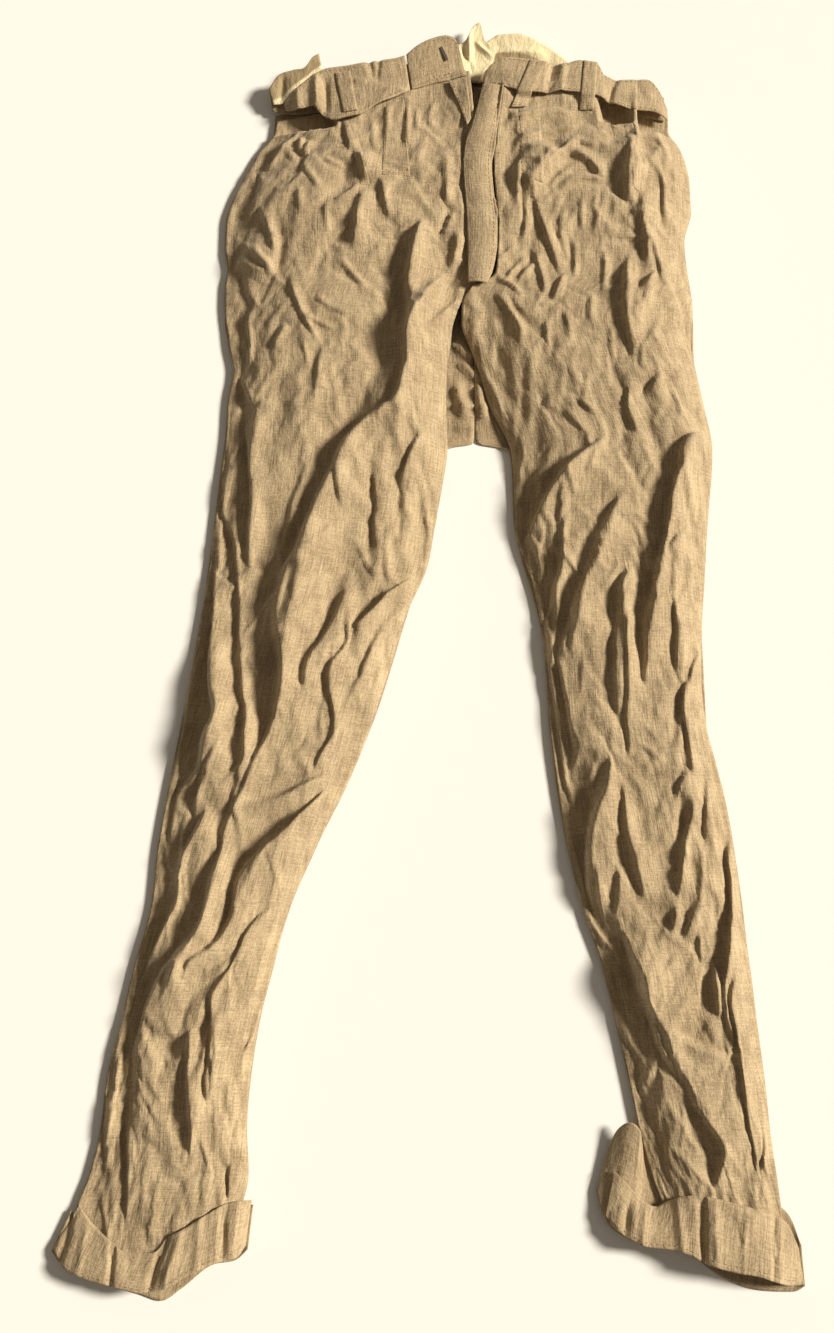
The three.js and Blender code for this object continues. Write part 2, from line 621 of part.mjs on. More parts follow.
strip("lining_back", [
  [28, 498, 31, 480, 10, 14],
  [37, 503, 35, 468, 11, 13],
  [42, 515, 40, 461, 12, 12],
  [48, 520, 46, 462, 12, 11],
  [52, 503, 51, 470, 12, 11],
  [62, 490, 58, 476, 12, 11],
], 10, 7, [
  [38, 520, 40, 494, 36, 470, 5, 5, 3.4],
  [42, 502, 52, 490, 62, 482, 5, 5, 2.4],
  [32, 498, 36, 484, 42, 464, 4, 4, -2.2],
], CREAM, onBackInside);

// Fly: the shield turned back on the right and the placket strip on the left front.
strip("fly_shield_right", [
  [20, 452, 35.4, 408, 24, 26],
  [28, 453, 37.2, 410, 24, 26],
  [35.5, 454, 39, 414, 24, 26],
], 3, 8, [], LINEN, onFronts);
const PLACKET_ROWS = table("westX westY eastX eastY", [
  [49, 446, 66, 444],
  [45, 428, 63.4, 426],
  [39.5, 408, 61, 406],
  [34, 390, 58.6, 388],
  [32, 368, 56, 366],
  [33, 344, 57.3, 342],
  [34.5, 318, 59.8, 316],
  [35, 292, 59, 290],
  [35, 268, 54.6, 267],
  [35.2, 259.5, 50.5, 258.5],
]);
const PLACKET_PUCKERS = table(FOLD, [
  [34, 402, 44, 404, 64, 404, 5, 5, 0.8],
  [30, 372, 44, 370, 60, 374, 4, 4, 0.7],
  [30, 344, 44, 340, 62, 342, 4, 4, 0.7],
  [32, 318, 46, 320, 62, 316, 4, 4, 0.7],
  [32, 290, 46, 288, 60, 292, 4, 4, 0.7],
]);
function placket() {
  const shape = panel(PLACKET_ROWS);
  const field = foldField(PLACKET_PUCKERS);
  const top = (x, y, u) => Math.max(26.6 + 2.4 * Math.sin(Math.PI * u) + field(x, y),
    onFronts(x, y) + CLOTH_WALL + SEAM_GAP);
  return keep(wall("fly_placket_left", 4, 22, shape.point, top, (p) => p[2] - CLOTH_WALL, LINEN));
}

// What is sewn on the panels and the bands: pleats, pocket edges and belt loops.
const onFrontsWide = highestOf([frontRight, frontLeft], 3);
strip("pleat_right", [
  [-35, 428, -36, 358, 0, 0],
  [-26, 432, -25, 358, 0, 0],
  [-18, 437, -12.5, 358, 0, 0],
], 4, 9, [], LINEN, onFrontsWide, TRIM_WALL);
const pleatLeft = strip("pleat_left", [
  [79, 434, 80, 350, 0, 0],
  [89, 434, 89, 349, 0, 0],
  [98, 434, 99, 350, 0, 0],
], 4, 10, [], LINEN, onFrontsWide, TRIM_WALL);
strip("pocket_edge_right", [
  [-67, 411, -54, 349, 0, 0],
  [-59, 411, -46, 350, 0, 0],
], 2, 9, [], LINEN, onFrontsWide, TRIM_WALL);
strip("pocket_edge_left", [
  [168, 425, 171, 342, 0, 0],
  [176, 425, 179, 342, 0, 0],
], 2, 9, [], LINEN, onFrontsWide, TRIM_WALL);
placket();
strip("belt_loop_right", [
  [-77, 461, -69, 420, 0, 0],
  [-64, 462, -57, 421, 0, 0],
], 2, 9, [], LINEN, highestOf([frontRight, bandRight], 5.5), TRIM_WALL);
const onBandLeft = highestOf([frontLeft, bandLeft, pleatLeft], 5.5);
strip("belt_loop_left_front", [
  [90, 470, 73, 424, 0, 0],
  [104, 468, 86, 426, 0, 0],
], 2, 9, [], LINEN, onBandLeft, TRIM_WALL);
strip("belt_loop_left_side", [
  [136, 471, 131, 424, 0, 0],
  [148, 470, 143, 423, 0, 0],
], 2, 9, [], LINEN, onBandLeft, TRIM_WALL);

// Turn-ups: each hem has a front part over the leg and a back part under it.
strip("cuff_right_back", [
  [-256, -462, -264, -487, 4.4, 4.4],
  [-249, -465, -256, -496, 1.5, 1.5],
  [-222, -470, -224, -508, 1.5, 1.5],
  [-200, -470, -200, -515, 1.5, 1.5],
  [-186, -468, -186, -519, 1.5, 1.5],
  [-172, -466, -172, -511, 1.5, 1.5],
  [-152, -460, -152, -496, 1.5, 1.5],
  [-130, -456, -134, -492, 1.5, 1.5],
  [-123, -455, -126, -485, 4.4, 4.4],
], 18, 3, [], LINEN_BACK, nothing);
strip("cuff_right_front", [
  [-248, -453, -264, -486, 12, 8],
  [-241, -461, -254, -496, 16, 13],
  [-232, -470, -238, -503, 19, 16],
  [-220, -479, -222, -507, 21, 18],
  [-211, -485, -208, -510, 22, 19],
  [-200, -486, -198, -512, 22, 19],
  [-189, -485, -190, -511, 22, 19],
  [-181, -476, -178, -508, 23, 20],
  [-168, -469, -168, -502, 23, 20],
  [-155, -461, -155, -496, 22, 19],
  [-141, -454, -141, -491, 20, 17],
  [-130, -452, -132, -489, 15, 12],
  [-123, -450, -126, -483, 10, 8],
], 32, 5, [
  [-250, -450, -253, -474, -258, -504, 4, 4, -2.5],
  [-238, -456, -240, -480, -244, -508, 5, 5, 1.6],
  [-219, -470, -219, -494, -219, -518, 4, 4, -3.4],
  [-178, -468, -186, -490, -196, -520, 5, 4, -3.4],
  [-170, -466, -176, -486, -184, -516, 5, 5, 2],
  [-158, -456, -160, -480, -160, -508, 5, 5, 1.8],
  [-142, -446, -142, -470, -142, -500, 4, 5, -4],
  [-132, -446, -133, -470, -134, -500, 5, 5, 1.6],
], LINEN, onFronts);
strip("cuff_left_back", [
  [136, -408, 121, -447, 14, 12],
  [146, -400, 127, -466, 12, 8],
  [151, -408, 142, -478, 5, 3],
  [155, -418, 152, -482, 1.5, 1.5],
  [168, -428, 167, -484, 1.5, 1.5],
  [186, -432, 186, -489, 1.5, 1.5],
  [206, -438, 205, -502, 1.5, 1.5],
  [230, -446, 228, -511, 1.5, 1.5],
  [257, -462, 257, -513, 1.5, 1.5],
  [264, -482, 265, -509, 4.4, 4.4],
], 20, 4, [], LINEN_BACK, nothing);
strip("cuff_left_front", [
  [131, -424, 124, -462, 17.5, 14],
  [140, -436, 133, -473, 19.5, 16],
  [152, -455, 150, -481, 19.5, 17],
  [162, -463, 162, -483, 18.5, 17],
  [169, -454, 172, -484, 19.5, 18],
  [180, -449, 182, -487, 20.5, 19],
  [192, -448, 190, -491, 20.5, 19],
  [199, -449, 197, -494, 23.5, 22],
  [212, -452, 212, -498, 24.5, 23],
  [230, -457, 229, -501, 22.5, 21],
  [245, -462, 242, -505, 20.5, 18],
  [254, -467, 254, -508, 15.5, 12],
  [262, -484, 264, -509, 8.5, 7],
], 34, 5, [
  [146, -436, 142, -456, 138, -480, 5, 5, -3],
  [136, -424, 132, -446, 128, -474, 4, 4, 1.6],
  [156, -450, 152, -466, 150, -490, 5, 5, 2],
  [176, -444, 178, -466, 178, -494, 5, 5, 1.6],
  [194, -440, 194, -466, 192, -500, 5, 3, -3.4],
  [203, -442, 202, -466, 200, -504, 4, 5, 1.6],
  [226, -448, 222, -474, 218, -508, 3, 3, 1],
  [247, -454, 243, -480, 240, -514, 4, 5, -3],
], LINEN, onFronts);

// Trouser hook bar on the tab.
function hookBar() {
  const bar = new THREE.Mesh(new THREE.BoxGeometry(2.2, 13, 1), STEEL);
  bar.name = "hook_bar";
  bar.position.set(16.5, 477.5, 25.62);
  bar.rotation.set(0.14, 0, 0.42);
  return bar;
}
group.add(hookBar());
group.position.set(-LAYOUT_CENTRE_X, -LAYOUT_CENTRE_Y, 0);

export default group;
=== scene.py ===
"""Looks of the crumpled linen dress trousers, built over the CAD frame. Millimetres in the tables: +X toward
the wearer's left, +Y toward the waist, +Z up. West and east are the -X and +X edges of a piece."""
import math
import bpy
import numpy as np
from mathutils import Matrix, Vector


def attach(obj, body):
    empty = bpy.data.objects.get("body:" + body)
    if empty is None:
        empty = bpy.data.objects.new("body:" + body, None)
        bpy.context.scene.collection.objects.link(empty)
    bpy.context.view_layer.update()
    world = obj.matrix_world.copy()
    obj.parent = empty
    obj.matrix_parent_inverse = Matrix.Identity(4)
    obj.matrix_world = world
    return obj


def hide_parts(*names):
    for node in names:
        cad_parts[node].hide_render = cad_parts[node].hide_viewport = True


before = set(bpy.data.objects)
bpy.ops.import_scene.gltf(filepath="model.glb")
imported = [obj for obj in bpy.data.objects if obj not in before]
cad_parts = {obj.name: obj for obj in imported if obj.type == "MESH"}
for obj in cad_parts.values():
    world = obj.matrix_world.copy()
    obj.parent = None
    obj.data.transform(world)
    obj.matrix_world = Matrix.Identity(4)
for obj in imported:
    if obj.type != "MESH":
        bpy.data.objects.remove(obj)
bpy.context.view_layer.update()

# Sizes, millimetres.
CLOTH_WALL = 1.1
TRIM_WALL = 0.9
SEAM_GAP = 0.12
BACK_EDGE_LIFT = 2.0
SIDE_SEAM_TOP = BACK_EDGE_LIFT + 2 * CLOTH_WALL + SEAM_GAP
LEAST_FRONT_TOP, LOWEST_DIP = 7.0, 5
OPEN_EDGE_Z = 15
SEAM_FADE = 7
BACK_SEAM_FADE = 11
BAND_MEETS = 4
PLACKET_STEP = 2.2
PLACKET_TOP, PLACKET_CROWN = 26.6, 2.4
HOLLOW, POCKET_HOLLOW = 14, 4
TURN_UP_STANDS_OFF, TRIM_PROUD = 1.2, 0.35
MOST_DROP = 14
LAYOUT_CENTRE_X, LAYOUT_CENTRE_Y = 0.5, 0.32
HIP_Y, KNEE_Y, SEAT_SEAM_END, WAIST_SEAM_Y = 170, -130, 124, 408
CELL = 1.0
FRONT_CELLS, BACK_CELLS, PLACKET_CELLS = (100, 440), (60, 260), (24, 150)
CUFF_ROWS = 44
LINE_STEP = 5
FIELD_WEST, FIELD_SOUTH, FIELD_WIDE, FIELD_LONG = -290, -545, 580, 1100
NO_CLOTH = -1e3

# Shares and counts.
HIP_FOLD_GAIN, LEG_FOLD_GAIN, CREASE_GAIN = 0.9, 0.5, 1.15
STEEP_SHARE = 0.5
DENT_SHARE = 0.4
WEST_SHOULDER, EAST_SHOULDER = 0.42, 0.24
SMALL_CREASES = 520


def table(columns, rows):
    keys = columns.split()
    return [dict(zip(keys, row)) for row in rows]


PANEL = "westX westY eastX eastY westZ middleZ eastZ"
T = SIDE_SEAM_TOP
FRONT_RIGHT_ROWS = table(PANEL, [
    [-127, 425, 38, 462, 9, 17, 20],
    [-130, 409, 40, 436, 7, 20, 23],
    [-141, 396, 43, 412, T, 25, 25],
    [-152, 374, 48, 388, T, 28, 27],
    [-162, 352, 48, 362, T, 30, 27],
    [-168, 326, 48, 330, T, 30, 27],
    [-168, 302, 48, 300, T, 29, 27],
    [-165, 283, 48, 280, T, 28, 25],
    [-167, 268, 46, 266, T, 27, 23],
    [-167, 256, 35, 255, T, 27, 20],
    [-166, 242, 28, 242, T, 27, 15],
    [-164, 228, 23, 229, T, 27, 11],
    [-162, 213, 21, 213, T, 27, 8],
    [-158, 191, 18, 190, T, 26, 6],
    [-161, 165, 17, 160, T, 26, T],
    [-162, 132, 18, 124, T, 25, T],
    [-165, 100, 14, 92, T, 25, T],
    [-168, 62, 8, 58, T, 24, T],
    [-171, 22, 1, 20, T, 24, T],
    [-176, -20, -14, -16, T, 23, T],
    [-182, -62, -28, -62, T, 23, T],
    [-188, -105, -42, -108, T, 23, T],
    [-195, -150, -60, -154, T, 22, T],
    [-202, -202, -84, -204, T, 21, T],
    [-205, -246, -102, -248, T, 21, T],
    [-215, -288, -112, -288, T, 21, T],
    [-223, -328, -122, -330, T, 21, T],
    [-231, -366, -127, -364, T, 21, T],
    [-234, -404, -129, -402, T, 20, T],
    [-240, -434, -127, -434, T, 18, T],
    [-249, -462, -132, -460, T, 16, T],
    [-250, -488, -137, -486, T, 15, T],
])
FRONT_LEFT_ROWS = table(PANEL, [
    [68, 455, 209, 434, 22, 20, 9],
    [65, 430, 209, 415, 25, 22, 7],
    [61.6, 402, 219, 396, 27, 27, T],
    [57.6, 368, 225, 364, 27, 30, T],
    [59, 340, 225, 338, 27, 31, T],
    [61, 312, 218, 308, 27, 30, T],
    [60, 288, 219, 284, 26, 29, T],
    [55.6, 266, 221, 264, 25, 29, T],
    [37, 256, 222, 254, 22, 29, T],
    [30, 242, 222, 241, 17, 28, T],
    [30, 229, 220, 229, 13, 28, T],
    [36, 211, 219, 212, 9, 28, T],
    [43, 192, 221, 197, 7, 28, T],
    [53, 158, 227, 160, T, 27, T],
    [69, 120, 232, 122, T, 27, T],
    [71, 88, 229, 90, T, 26, T],
    [72, 50, 224, 48, T, 25, T],
    [84, 8, 220, 8, T, 24, T],
    [91, -32, 216, -32, T, 24, T],
    [94, -72, 214, -74, T, 23, T],
    [96, -116, 216, -114, T, 23, T],
    [101, -160, 226, -158, T, 22, T],
    [107, -202, 232, -202, T, 22, T],
    [117, -248, 235, -248, T, 22, T],
    [130, -288, 239, -290, T, 22, T],
    [139, -330, 242, -332, T, 22, T],
    [146, -366, 245, -370, T, 21, T],
    [153, -404, 247, -408, T, 20, T],
    [160, -432, 250, -440, T, 18, T],
    [168, -456, 252, -464, T, 16, T],
    [178, -480, 254, -490, T, 15, T],
])
BACK = "westX westY eastX eastY"
BACK_RIGHT_ROWS = table(BACK, [
    [-129, 432, 40, 474],
    [-130, 409, 40, 436],
    [-141, 396, 40, 408],
    [-162, 352, 40, 358],
    [-168, 314, 40, 312],
    [-165, 283, 40, 282],
    [-166, 240, 40, 240],
    [-158, 191, 40, 190],
    [-161, 155, 40, 150],
    [-162, 132, 39, 129],
    [-163, 122, 17, 122],
    [-168, 62, 8, 58],
    [-176, -20, -14, -16],
    [-188, -105, -42, -108],
    [-202, -202, -84, -204],
    [-205, -246, -102, -248],
    [-223, -328, -122, -330],
    [-234, -404, -129, -402],
    [-240, -434, -127, -434],
    [-249, -462, -132, -460],
    [-250, -488, -137, -486],
])
BACK_LEFT_ROWS = table(BACK, [
    [40.4, 474, 209, 440],
    [40.4, 436, 209, 415],
    [40.4, 402, 219, 396],
    [40.4, 358, 225, 352],
    [40.4, 308, 218, 306],
    [40.4, 247, 222, 246],
    [40.4, 200, 221, 198],
    [40.4, 160, 227, 160],
    [41, 130, 231, 132],
    [68, 120, 232, 120],
    [72, 50, 224, 48],
    [91, -32, 216, -32],
    [96, -116, 216, -114],
    [107, -202, 232, -202],
    [130, -288, 239, -290],
    [146, -366, 245, -370],
    [153, -404, 247, -408],
    [160, -432, 250, -440],
    [168, -456, 252, -464],
    [178, -480, 254, -490],
])
FOLD = "fromX fromY byX byY toX toY reachA reachB high"
FRONT_RIGHT_FOLDS = table(FOLD, [
    [6, 268, -34, 160, -88, 62, 26, 46, 13],
    [-78, 82, -112, 0, -106, -116, 18, 34, 12],
    [-90, 110, -112, 46, -128, -74, 9, 9, 6],
    [-137, 182, -136, 90, -141, -16, 10, 14, 7],
    [-158, 194, -140, 142, -139, 16, 6, 7, -7],
    [-168, 76, -154, 44, -145, -24, 5, 7, -6],
    [-172, 46, -163, 4, -172, -66, 5, 7, -5],
    [-158, -26, -156, -96, -172, -142, 20, 12, 9],
    [-150, -108, -166, -146, -179, -182, 9, 6, 5],
    [-182, -170, -180, -232, -198, -276, 10, 8, 6],
    [-148, -196, -156, -254, -208, -340, 16, 20, 12],
    [-78, -160, -130, -206, -147, -276, 14, 24, 9],
    [-66, -146, -110, -158, -140, -196, 20, 8, 5],
    [-137, -84, -133, -148, -151, -198, 7, 16, 6],
    [-54, 6, -66, -32, -88, -66, 12, 14, 5],
    [-62, -26, -82, -76, -69, -124, 5, 12, 4],
    [-6, 22, -44, -20, -62, -56, 9, 22, 5],
    [-164, 292, -142, 268, -116, 274, 16, 34, 6],
    [-66, 384, -60, 346, -90, 338, 9, 11, -9],
    [-52, 346, -58, 320, -58, 288, 5, 14, 4],
    [-62, 307, -88, 302, -93, 246, 5, 18, -7],
    [-30, 346, -28, 330, -30, 306, 5, 8, -3],
    [18, 384, 14, 330, 22, 274, 5, 7, -4],
    [30, 264, 10, 262, -2, 220, 7, 11, -6],
    [34, 250, 14, 236, 2, 208, 6, 12, 4],
    [-104, 402, -112, 386, -104, 372, 6, 14, -4],
    [-146, 388, -124, 378, -118, 396, 9, 9, -5],
    [-150, 366, -142, 352, -146, 344, 7, 9, -4],
    [-128, 338, -118, 310, -122, 282, 6, 12, -2.5],
    [-110, 268, -98, 230, -82, 204, 6, 9, -4],
    [-80, 280, -66, 262, -52, 256, 5, 9, -3],
    [-150, 222, -144, 200, -140, 184, 6, 9, -4],
    [-120, 224, -122, 208, -128, 200, 7, 7, -3.5],
    [-84, 206, -86, 172, -92, 146, 6, 12, 4],
    [-92, 150, -82, 138, -66, 140, 6, 7, -5],
    [-50, 118, -72, 84, -62, 56, 6, 12, -3.5],
    [-42, 96, -38, 64, -38, 30, 6, 8, -3],
    [-58, 56, -80, 42, -98, 20, 7, 9, 3.5],
    [-30, 42, -50, 14, -84, 10, 7, 8, 3],
    [-16, -8, -44, -54, -62, -96, 8, 14, 4],
    [-88, -120, -78, -124, -66, -150, 8, 8, -3.5],
    [-104, -210, -122, -244, -134, -264, 7, 10, -4],
    [-212, -332, -216, -400, -214, -474, 6, 8, -8],
    [-226, -318, -226, -390, -230, -440, 7, 7, 5],
    [-128, -262, -160, -306, -192, -384, 20, 8, 6],
    [-160, -332, -163, -366, -168, -424, 18, 9, 7],
    [-153, -318, -148, -352, -158, -398, 7, 10, 5],
    [-150, -296, -136, -306, -122, -304, 6, 6, -3.5],
    [-152, -336, -138, -342, -126, -334, 5, 6, -4],
    [-154, -372, -140, -380, -130, -376, 6, 6, -4],
    [-142, -428, -140, -440, -142, -462, 5, 6, -5],
    [-200, -470, -190, -462, -168, -464, 5, 6, 3],
    [-236, -446, -230, -462, -222, -478, 6, 6, 4],
])
FRONT_LEFT_FOLDS = table(FOLD, [
    [142, 122, 104, 98, 76, 40, 14, 28, 9],
    [154, 74, 130, 12, 106, -66, 11, 20, 8],
    [109, 48, 109, -6, 96, -66, 10, 9, 6],
    [160, 18, 151, -26, 148, -108, 10, 16, 7],
    [228, 130, 199, 124, 198, 66, 13, 16, 9],
    [200, 92, 186, 12, 168, -66, 15, 20, 10],
    [168, 288, 157, 236, 173, 188, 5, 14, 5],
    [193, 273, 176, 258, 170, 204, 5, 10, 4],
    [185, 410, 190, 372, 181, 328, 5, 9, -6],
    [168, 392, 160, 352, 166, 322, 8, 9, -8],
    [176, 424, 182, 384, 172, 328, 6, 5, 6],
    [74, 388, 81, 342, 78, 298, 14, 6, 4],
    [84, 348, 98, 300, 110, 258, 5, 7, -4],
    [112, 322, 110, 298, 118, 272, 5, 8, -3.5],
    [66, 398, 100, 428, 152, 411, 9, 8, -9],
    [72, 388, 104, 408, 134, 402, 9, 7, 6],
    [96, 360, 108, 384, 132, 400, 8, 8, -7],
    [120, 382, 136, 380, 152, 350, 9, 9, 5],
    [150, 396, 162, 388, 174, 408, 8, 7, -6],
    [150, 346, 146, 330, 140, 318, 7, 9, -4],
    [152, 300, 166, 294, 180, 302, 7, 8, -3],
    [134, 250, 136, 236, 134, 222, 5, 8, -4],
    [62, 282, 80, 268, 92, 290, 5, 7, -3.5],
    [52, 256, 72, 238, 79, 202, 8, 8, 4],
    [63, 234, 66, 208, 54, 186, 8, 10, -7],
    [88, 150, 102, 162, 108, 174, 8, 6, -4],
    [108, 168, 120, 164, 134, 150, 6, 7, -5],
    [156, 178, 164, 152, 166, 132, 5, 8, -4],
    [182, 176, 180, 160, 172, 152, 7, 8, -4],
    [170, 140, 186, 148, 198, 146, 6, 7, -3],
    [186, 220, 196, 226, 208, 232, 8, 7, -3],
    [84, 36, 92, 22, 90, -2, 8, 8, 4],
    [142, -130, 118, -176, 125, -252, 11, 20, 9],
    [150, -148, 145, -192, 164, -244, 5, 22, 4],
    [210, -148, 194, -196, 183, -248, 10, 9, 6],
    [206, -200, 205, -238, 196, -268, 4, 4, 3],
    [213, -148, 213, -178, 208, -206, 4, 4, -5],
    [233, -186, 230, -240, 216, -324, 12, 12, 9],
    [226, -292, 219, -332, 229, -398, 5, 5, 5],
    [219, -296, 224, -344, 227, -396, 4, 4, -6],
    [148, -262, 156, -332, 214, -414, 10, 32, 8],
    [184, -376, 202, -412, 204, -450, 7, 10, -8],
    [186, -374, 182, -410, 177, -446, 4, 7, 4],
    [156, -266, 176, -258, 196, -250, 7, 6, -5],
    [176, -334, 200, -346, 222, -354, 6, 6, -5],
    [202, -260, 203, -300, 207, -328, 4, 7, -6],
    [212, -284, 214, -304, 213, -328, 4, 4, 4],
    [200, -68, 197, -104, 186, -136, 10, 5, 5],
    [156, -52, 151, -92, 155, -138, 5, 7, -4],
    [112, -62, 106, -100, 114, -134, 6, 8, -4],
    [96, -76, 101, -140, 108, -206, 5, 7, -5],
    [138, -216, 140, -234, 136, -252, 7, 8, -4],
    [146, -250, 152, -268, 140, -288, 8, 10, -6],
    [170, -300, 180, -284, 188, -286, 7, 6, -4],
    [146, -356, 154, -362, 152, -378, 8, 7, -5],
    [232, -400, 236, -424, 240, -446, 5, 6, -5],
    [238, -420, 246, -430, 250, -446, 4, 5, 4],
    [207, -430, 214, -440, 232, -436, 6, 6, -5],
])
# Short sharp creases of the fronts, in the same columns.
FRONT_RIGHT_CREASES = table(FOLD, [
    [-69, 421, -66, 400, -61, 382, 2, 10, 3],
    [-61, 384, -48, 370, -53, 352, 3, 18, 7],
    [-56, 352, -62, 340, -78, 335, 3, 8, 4],
    [-51, 352, -55, 325, -59, 290, 2.5, 12, 3.5],
    [-2, 320, -9, 292, -13, 264, 14, 12, 6],
    [24, 268, -4, 260, -12, 204, 8, 14, 6],
    [-140, 336, -130, 316, -123, 284, 2.5, 7, 2.4],
    [-152, 314, -141, 317, -130, 314, 3, 4, 1.6],
    [-156, 303, -142, 288, -124, 270, 3, 6, 3],
    [-147, 300, -138, 286, -122, 272, 2.5, 5, 2],
    [-106, 380, -98, 360, -86, 344, 2.5, 6, 2],
    [-86, 379, -76, 371, -66, 367, 2.5, 4, 2],
    [-106, 352, -107, 338, -102, 324, 2.5, 4, 2],
    [-37, 357, -33, 338, -29, 312, 2.5, 6, 3],
    [20, 384, 15, 352, 18, 326, 3, 7, 4],
    [24, 328, 18, 312, 17, 300, 3, 6, 3.5],
    [26, 308, 28, 292, 20, 268, 4, 8, 4],
    [-70, 284, -62, 268, -46, 254, 2.5, 4, 2.2],
    [-112, 270, -104, 236, -84, 202, 3, 7, 3.5],
    [-100, 232, -88, 224, -72, 218, 2.5, 5, 2],
    [-146, 246, -149, 226, -138, 190, 2.5, 5, 2.4],
    [-112, 224, -118, 214, -124, 200, 6, 4, 3],
    [-152, 222, -148, 208, -140, 188, 2.5, 6, 2.4],
    [-118, 404, -122, 388, -136, 372, 4, 8, 4],
    [-104, 404, -106, 394, -107, 384, 3, 5, 4],
    [-96, 398, -100, 390, -104, 384, 3, 5, 2.5],
    [-44, 420, -46, 402, -42, 384, 2.5, 5, 2.4],
    [-32, 432, -30, 410, -34, 392, 2.5, 4, 2],
    [-14, 438, -17, 412, -14, 384, 3, 5, 3],
    [-6, 430, -8, 416, -6, 402, 2.5, 4, 2],
    [8, 436, 2, 420, 6, 402, 2.5, 5, 2],
    [-2, 400, -6, 372, -4, 344, 2, 5, 1.6],
    [-90, 250, -80, 236, -60, 232, 2.5, 5, 2],
    [-82, 338, -84, 320, -78, 300, 2.5, 5, 1.8],
])
FRONT_LEFT_CREASES = table(FOLD, [
    [62, 403, 98, 430, 140, 414, 16, 9, 8],
    [112, 390, 99, 366, 80, 336, 36, 14, 10],
    [97, 360, 112, 374, 131, 402, 9, 12, 7],
    [104, 347, 114, 359, 127, 366, 3, 6, 3.5],
    [112, 341, 122, 364, 153, 351, 5, 6, 4.5],
    [175, 412, 170, 366, 168, 324, 12, 10, 9],
    [184, 352, 177, 312, 187, 268, 5, 16, 4.5],
    [191, 272, 180, 258, 168, 243, 4, 8, 4],
    [168, 288, 153, 238, 169, 196, 3, 14, 5],
    [173, 248, 170, 235, 170, 222, 3, 6, 2.6],
    [84, 348, 87, 322, 80, 294, 3, 8, 3.4],
    [90, 352, 98, 310, 111, 266, 3.5, 9, 3.4],
    [114, 269, 109, 256, 105, 243, 4, 5, 3.4],
    [114, 326, 110, 304, 118, 276, 3, 7, 3.2],
    [90, 292, 94, 268, 99, 246, 2.5, 6, 2.4],
    [152, 352, 146, 326, 138, 300, 4, 8, 3],
    [156, 300, 170, 302, 184, 300, 4, 5, 2.4],
    [60, 280, 66, 287, 77, 293, 2.5, 4, 3],
    [65, 261, 72, 275, 88, 284, 3, 5, 3.4],
    [74, 261, 84, 272, 93, 281, 2.5, 4, 2.4],
    [57, 263, 70, 263, 79, 247, 3, 4, 2.4],
    [136, 250, 134, 236, 134, 221, 3, 6, 3],
    [94, 239, 99, 243, 105, 241, 3, 4, 2],
    [188, 221, 197, 226, 207, 230, 4, 5, 2.4],
    [199, 238, 205, 240, 212, 238, 3, 4, 2],
    [122, 300, 124, 286, 122, 262, 2.5, 5, 1.8],
    [132, 340, 128, 322, 130, 304, 2.5, 5, 2],
    [146, 290, 148, 270, 144, 246, 2.5, 6, 2],
    [96, 230, 100, 214, 98, 196, 2.5, 5, 2],
    [112, 236, 118, 222, 116, 202, 2.5, 5, 2],
    [150, 222, 148, 206, 152, 188, 2.5, 5, 2.2],
    [186, 300, 196, 282, 196, 256, 2.5, 7, 2],
    [198, 372, 204, 344, 200, 312, 2.5, 7, 2],
    [130, 392, 138, 386, 146, 388, 3, 5, 2.6],
    [142, 340, 140, 330, 142, 318, 2.5, 4, 2],
])


def lines(rows):
    """Long folds: the points of a crest line from the waist down, and how wide its dark west side is."""
    return [table("x y dark", row) for row in rows]


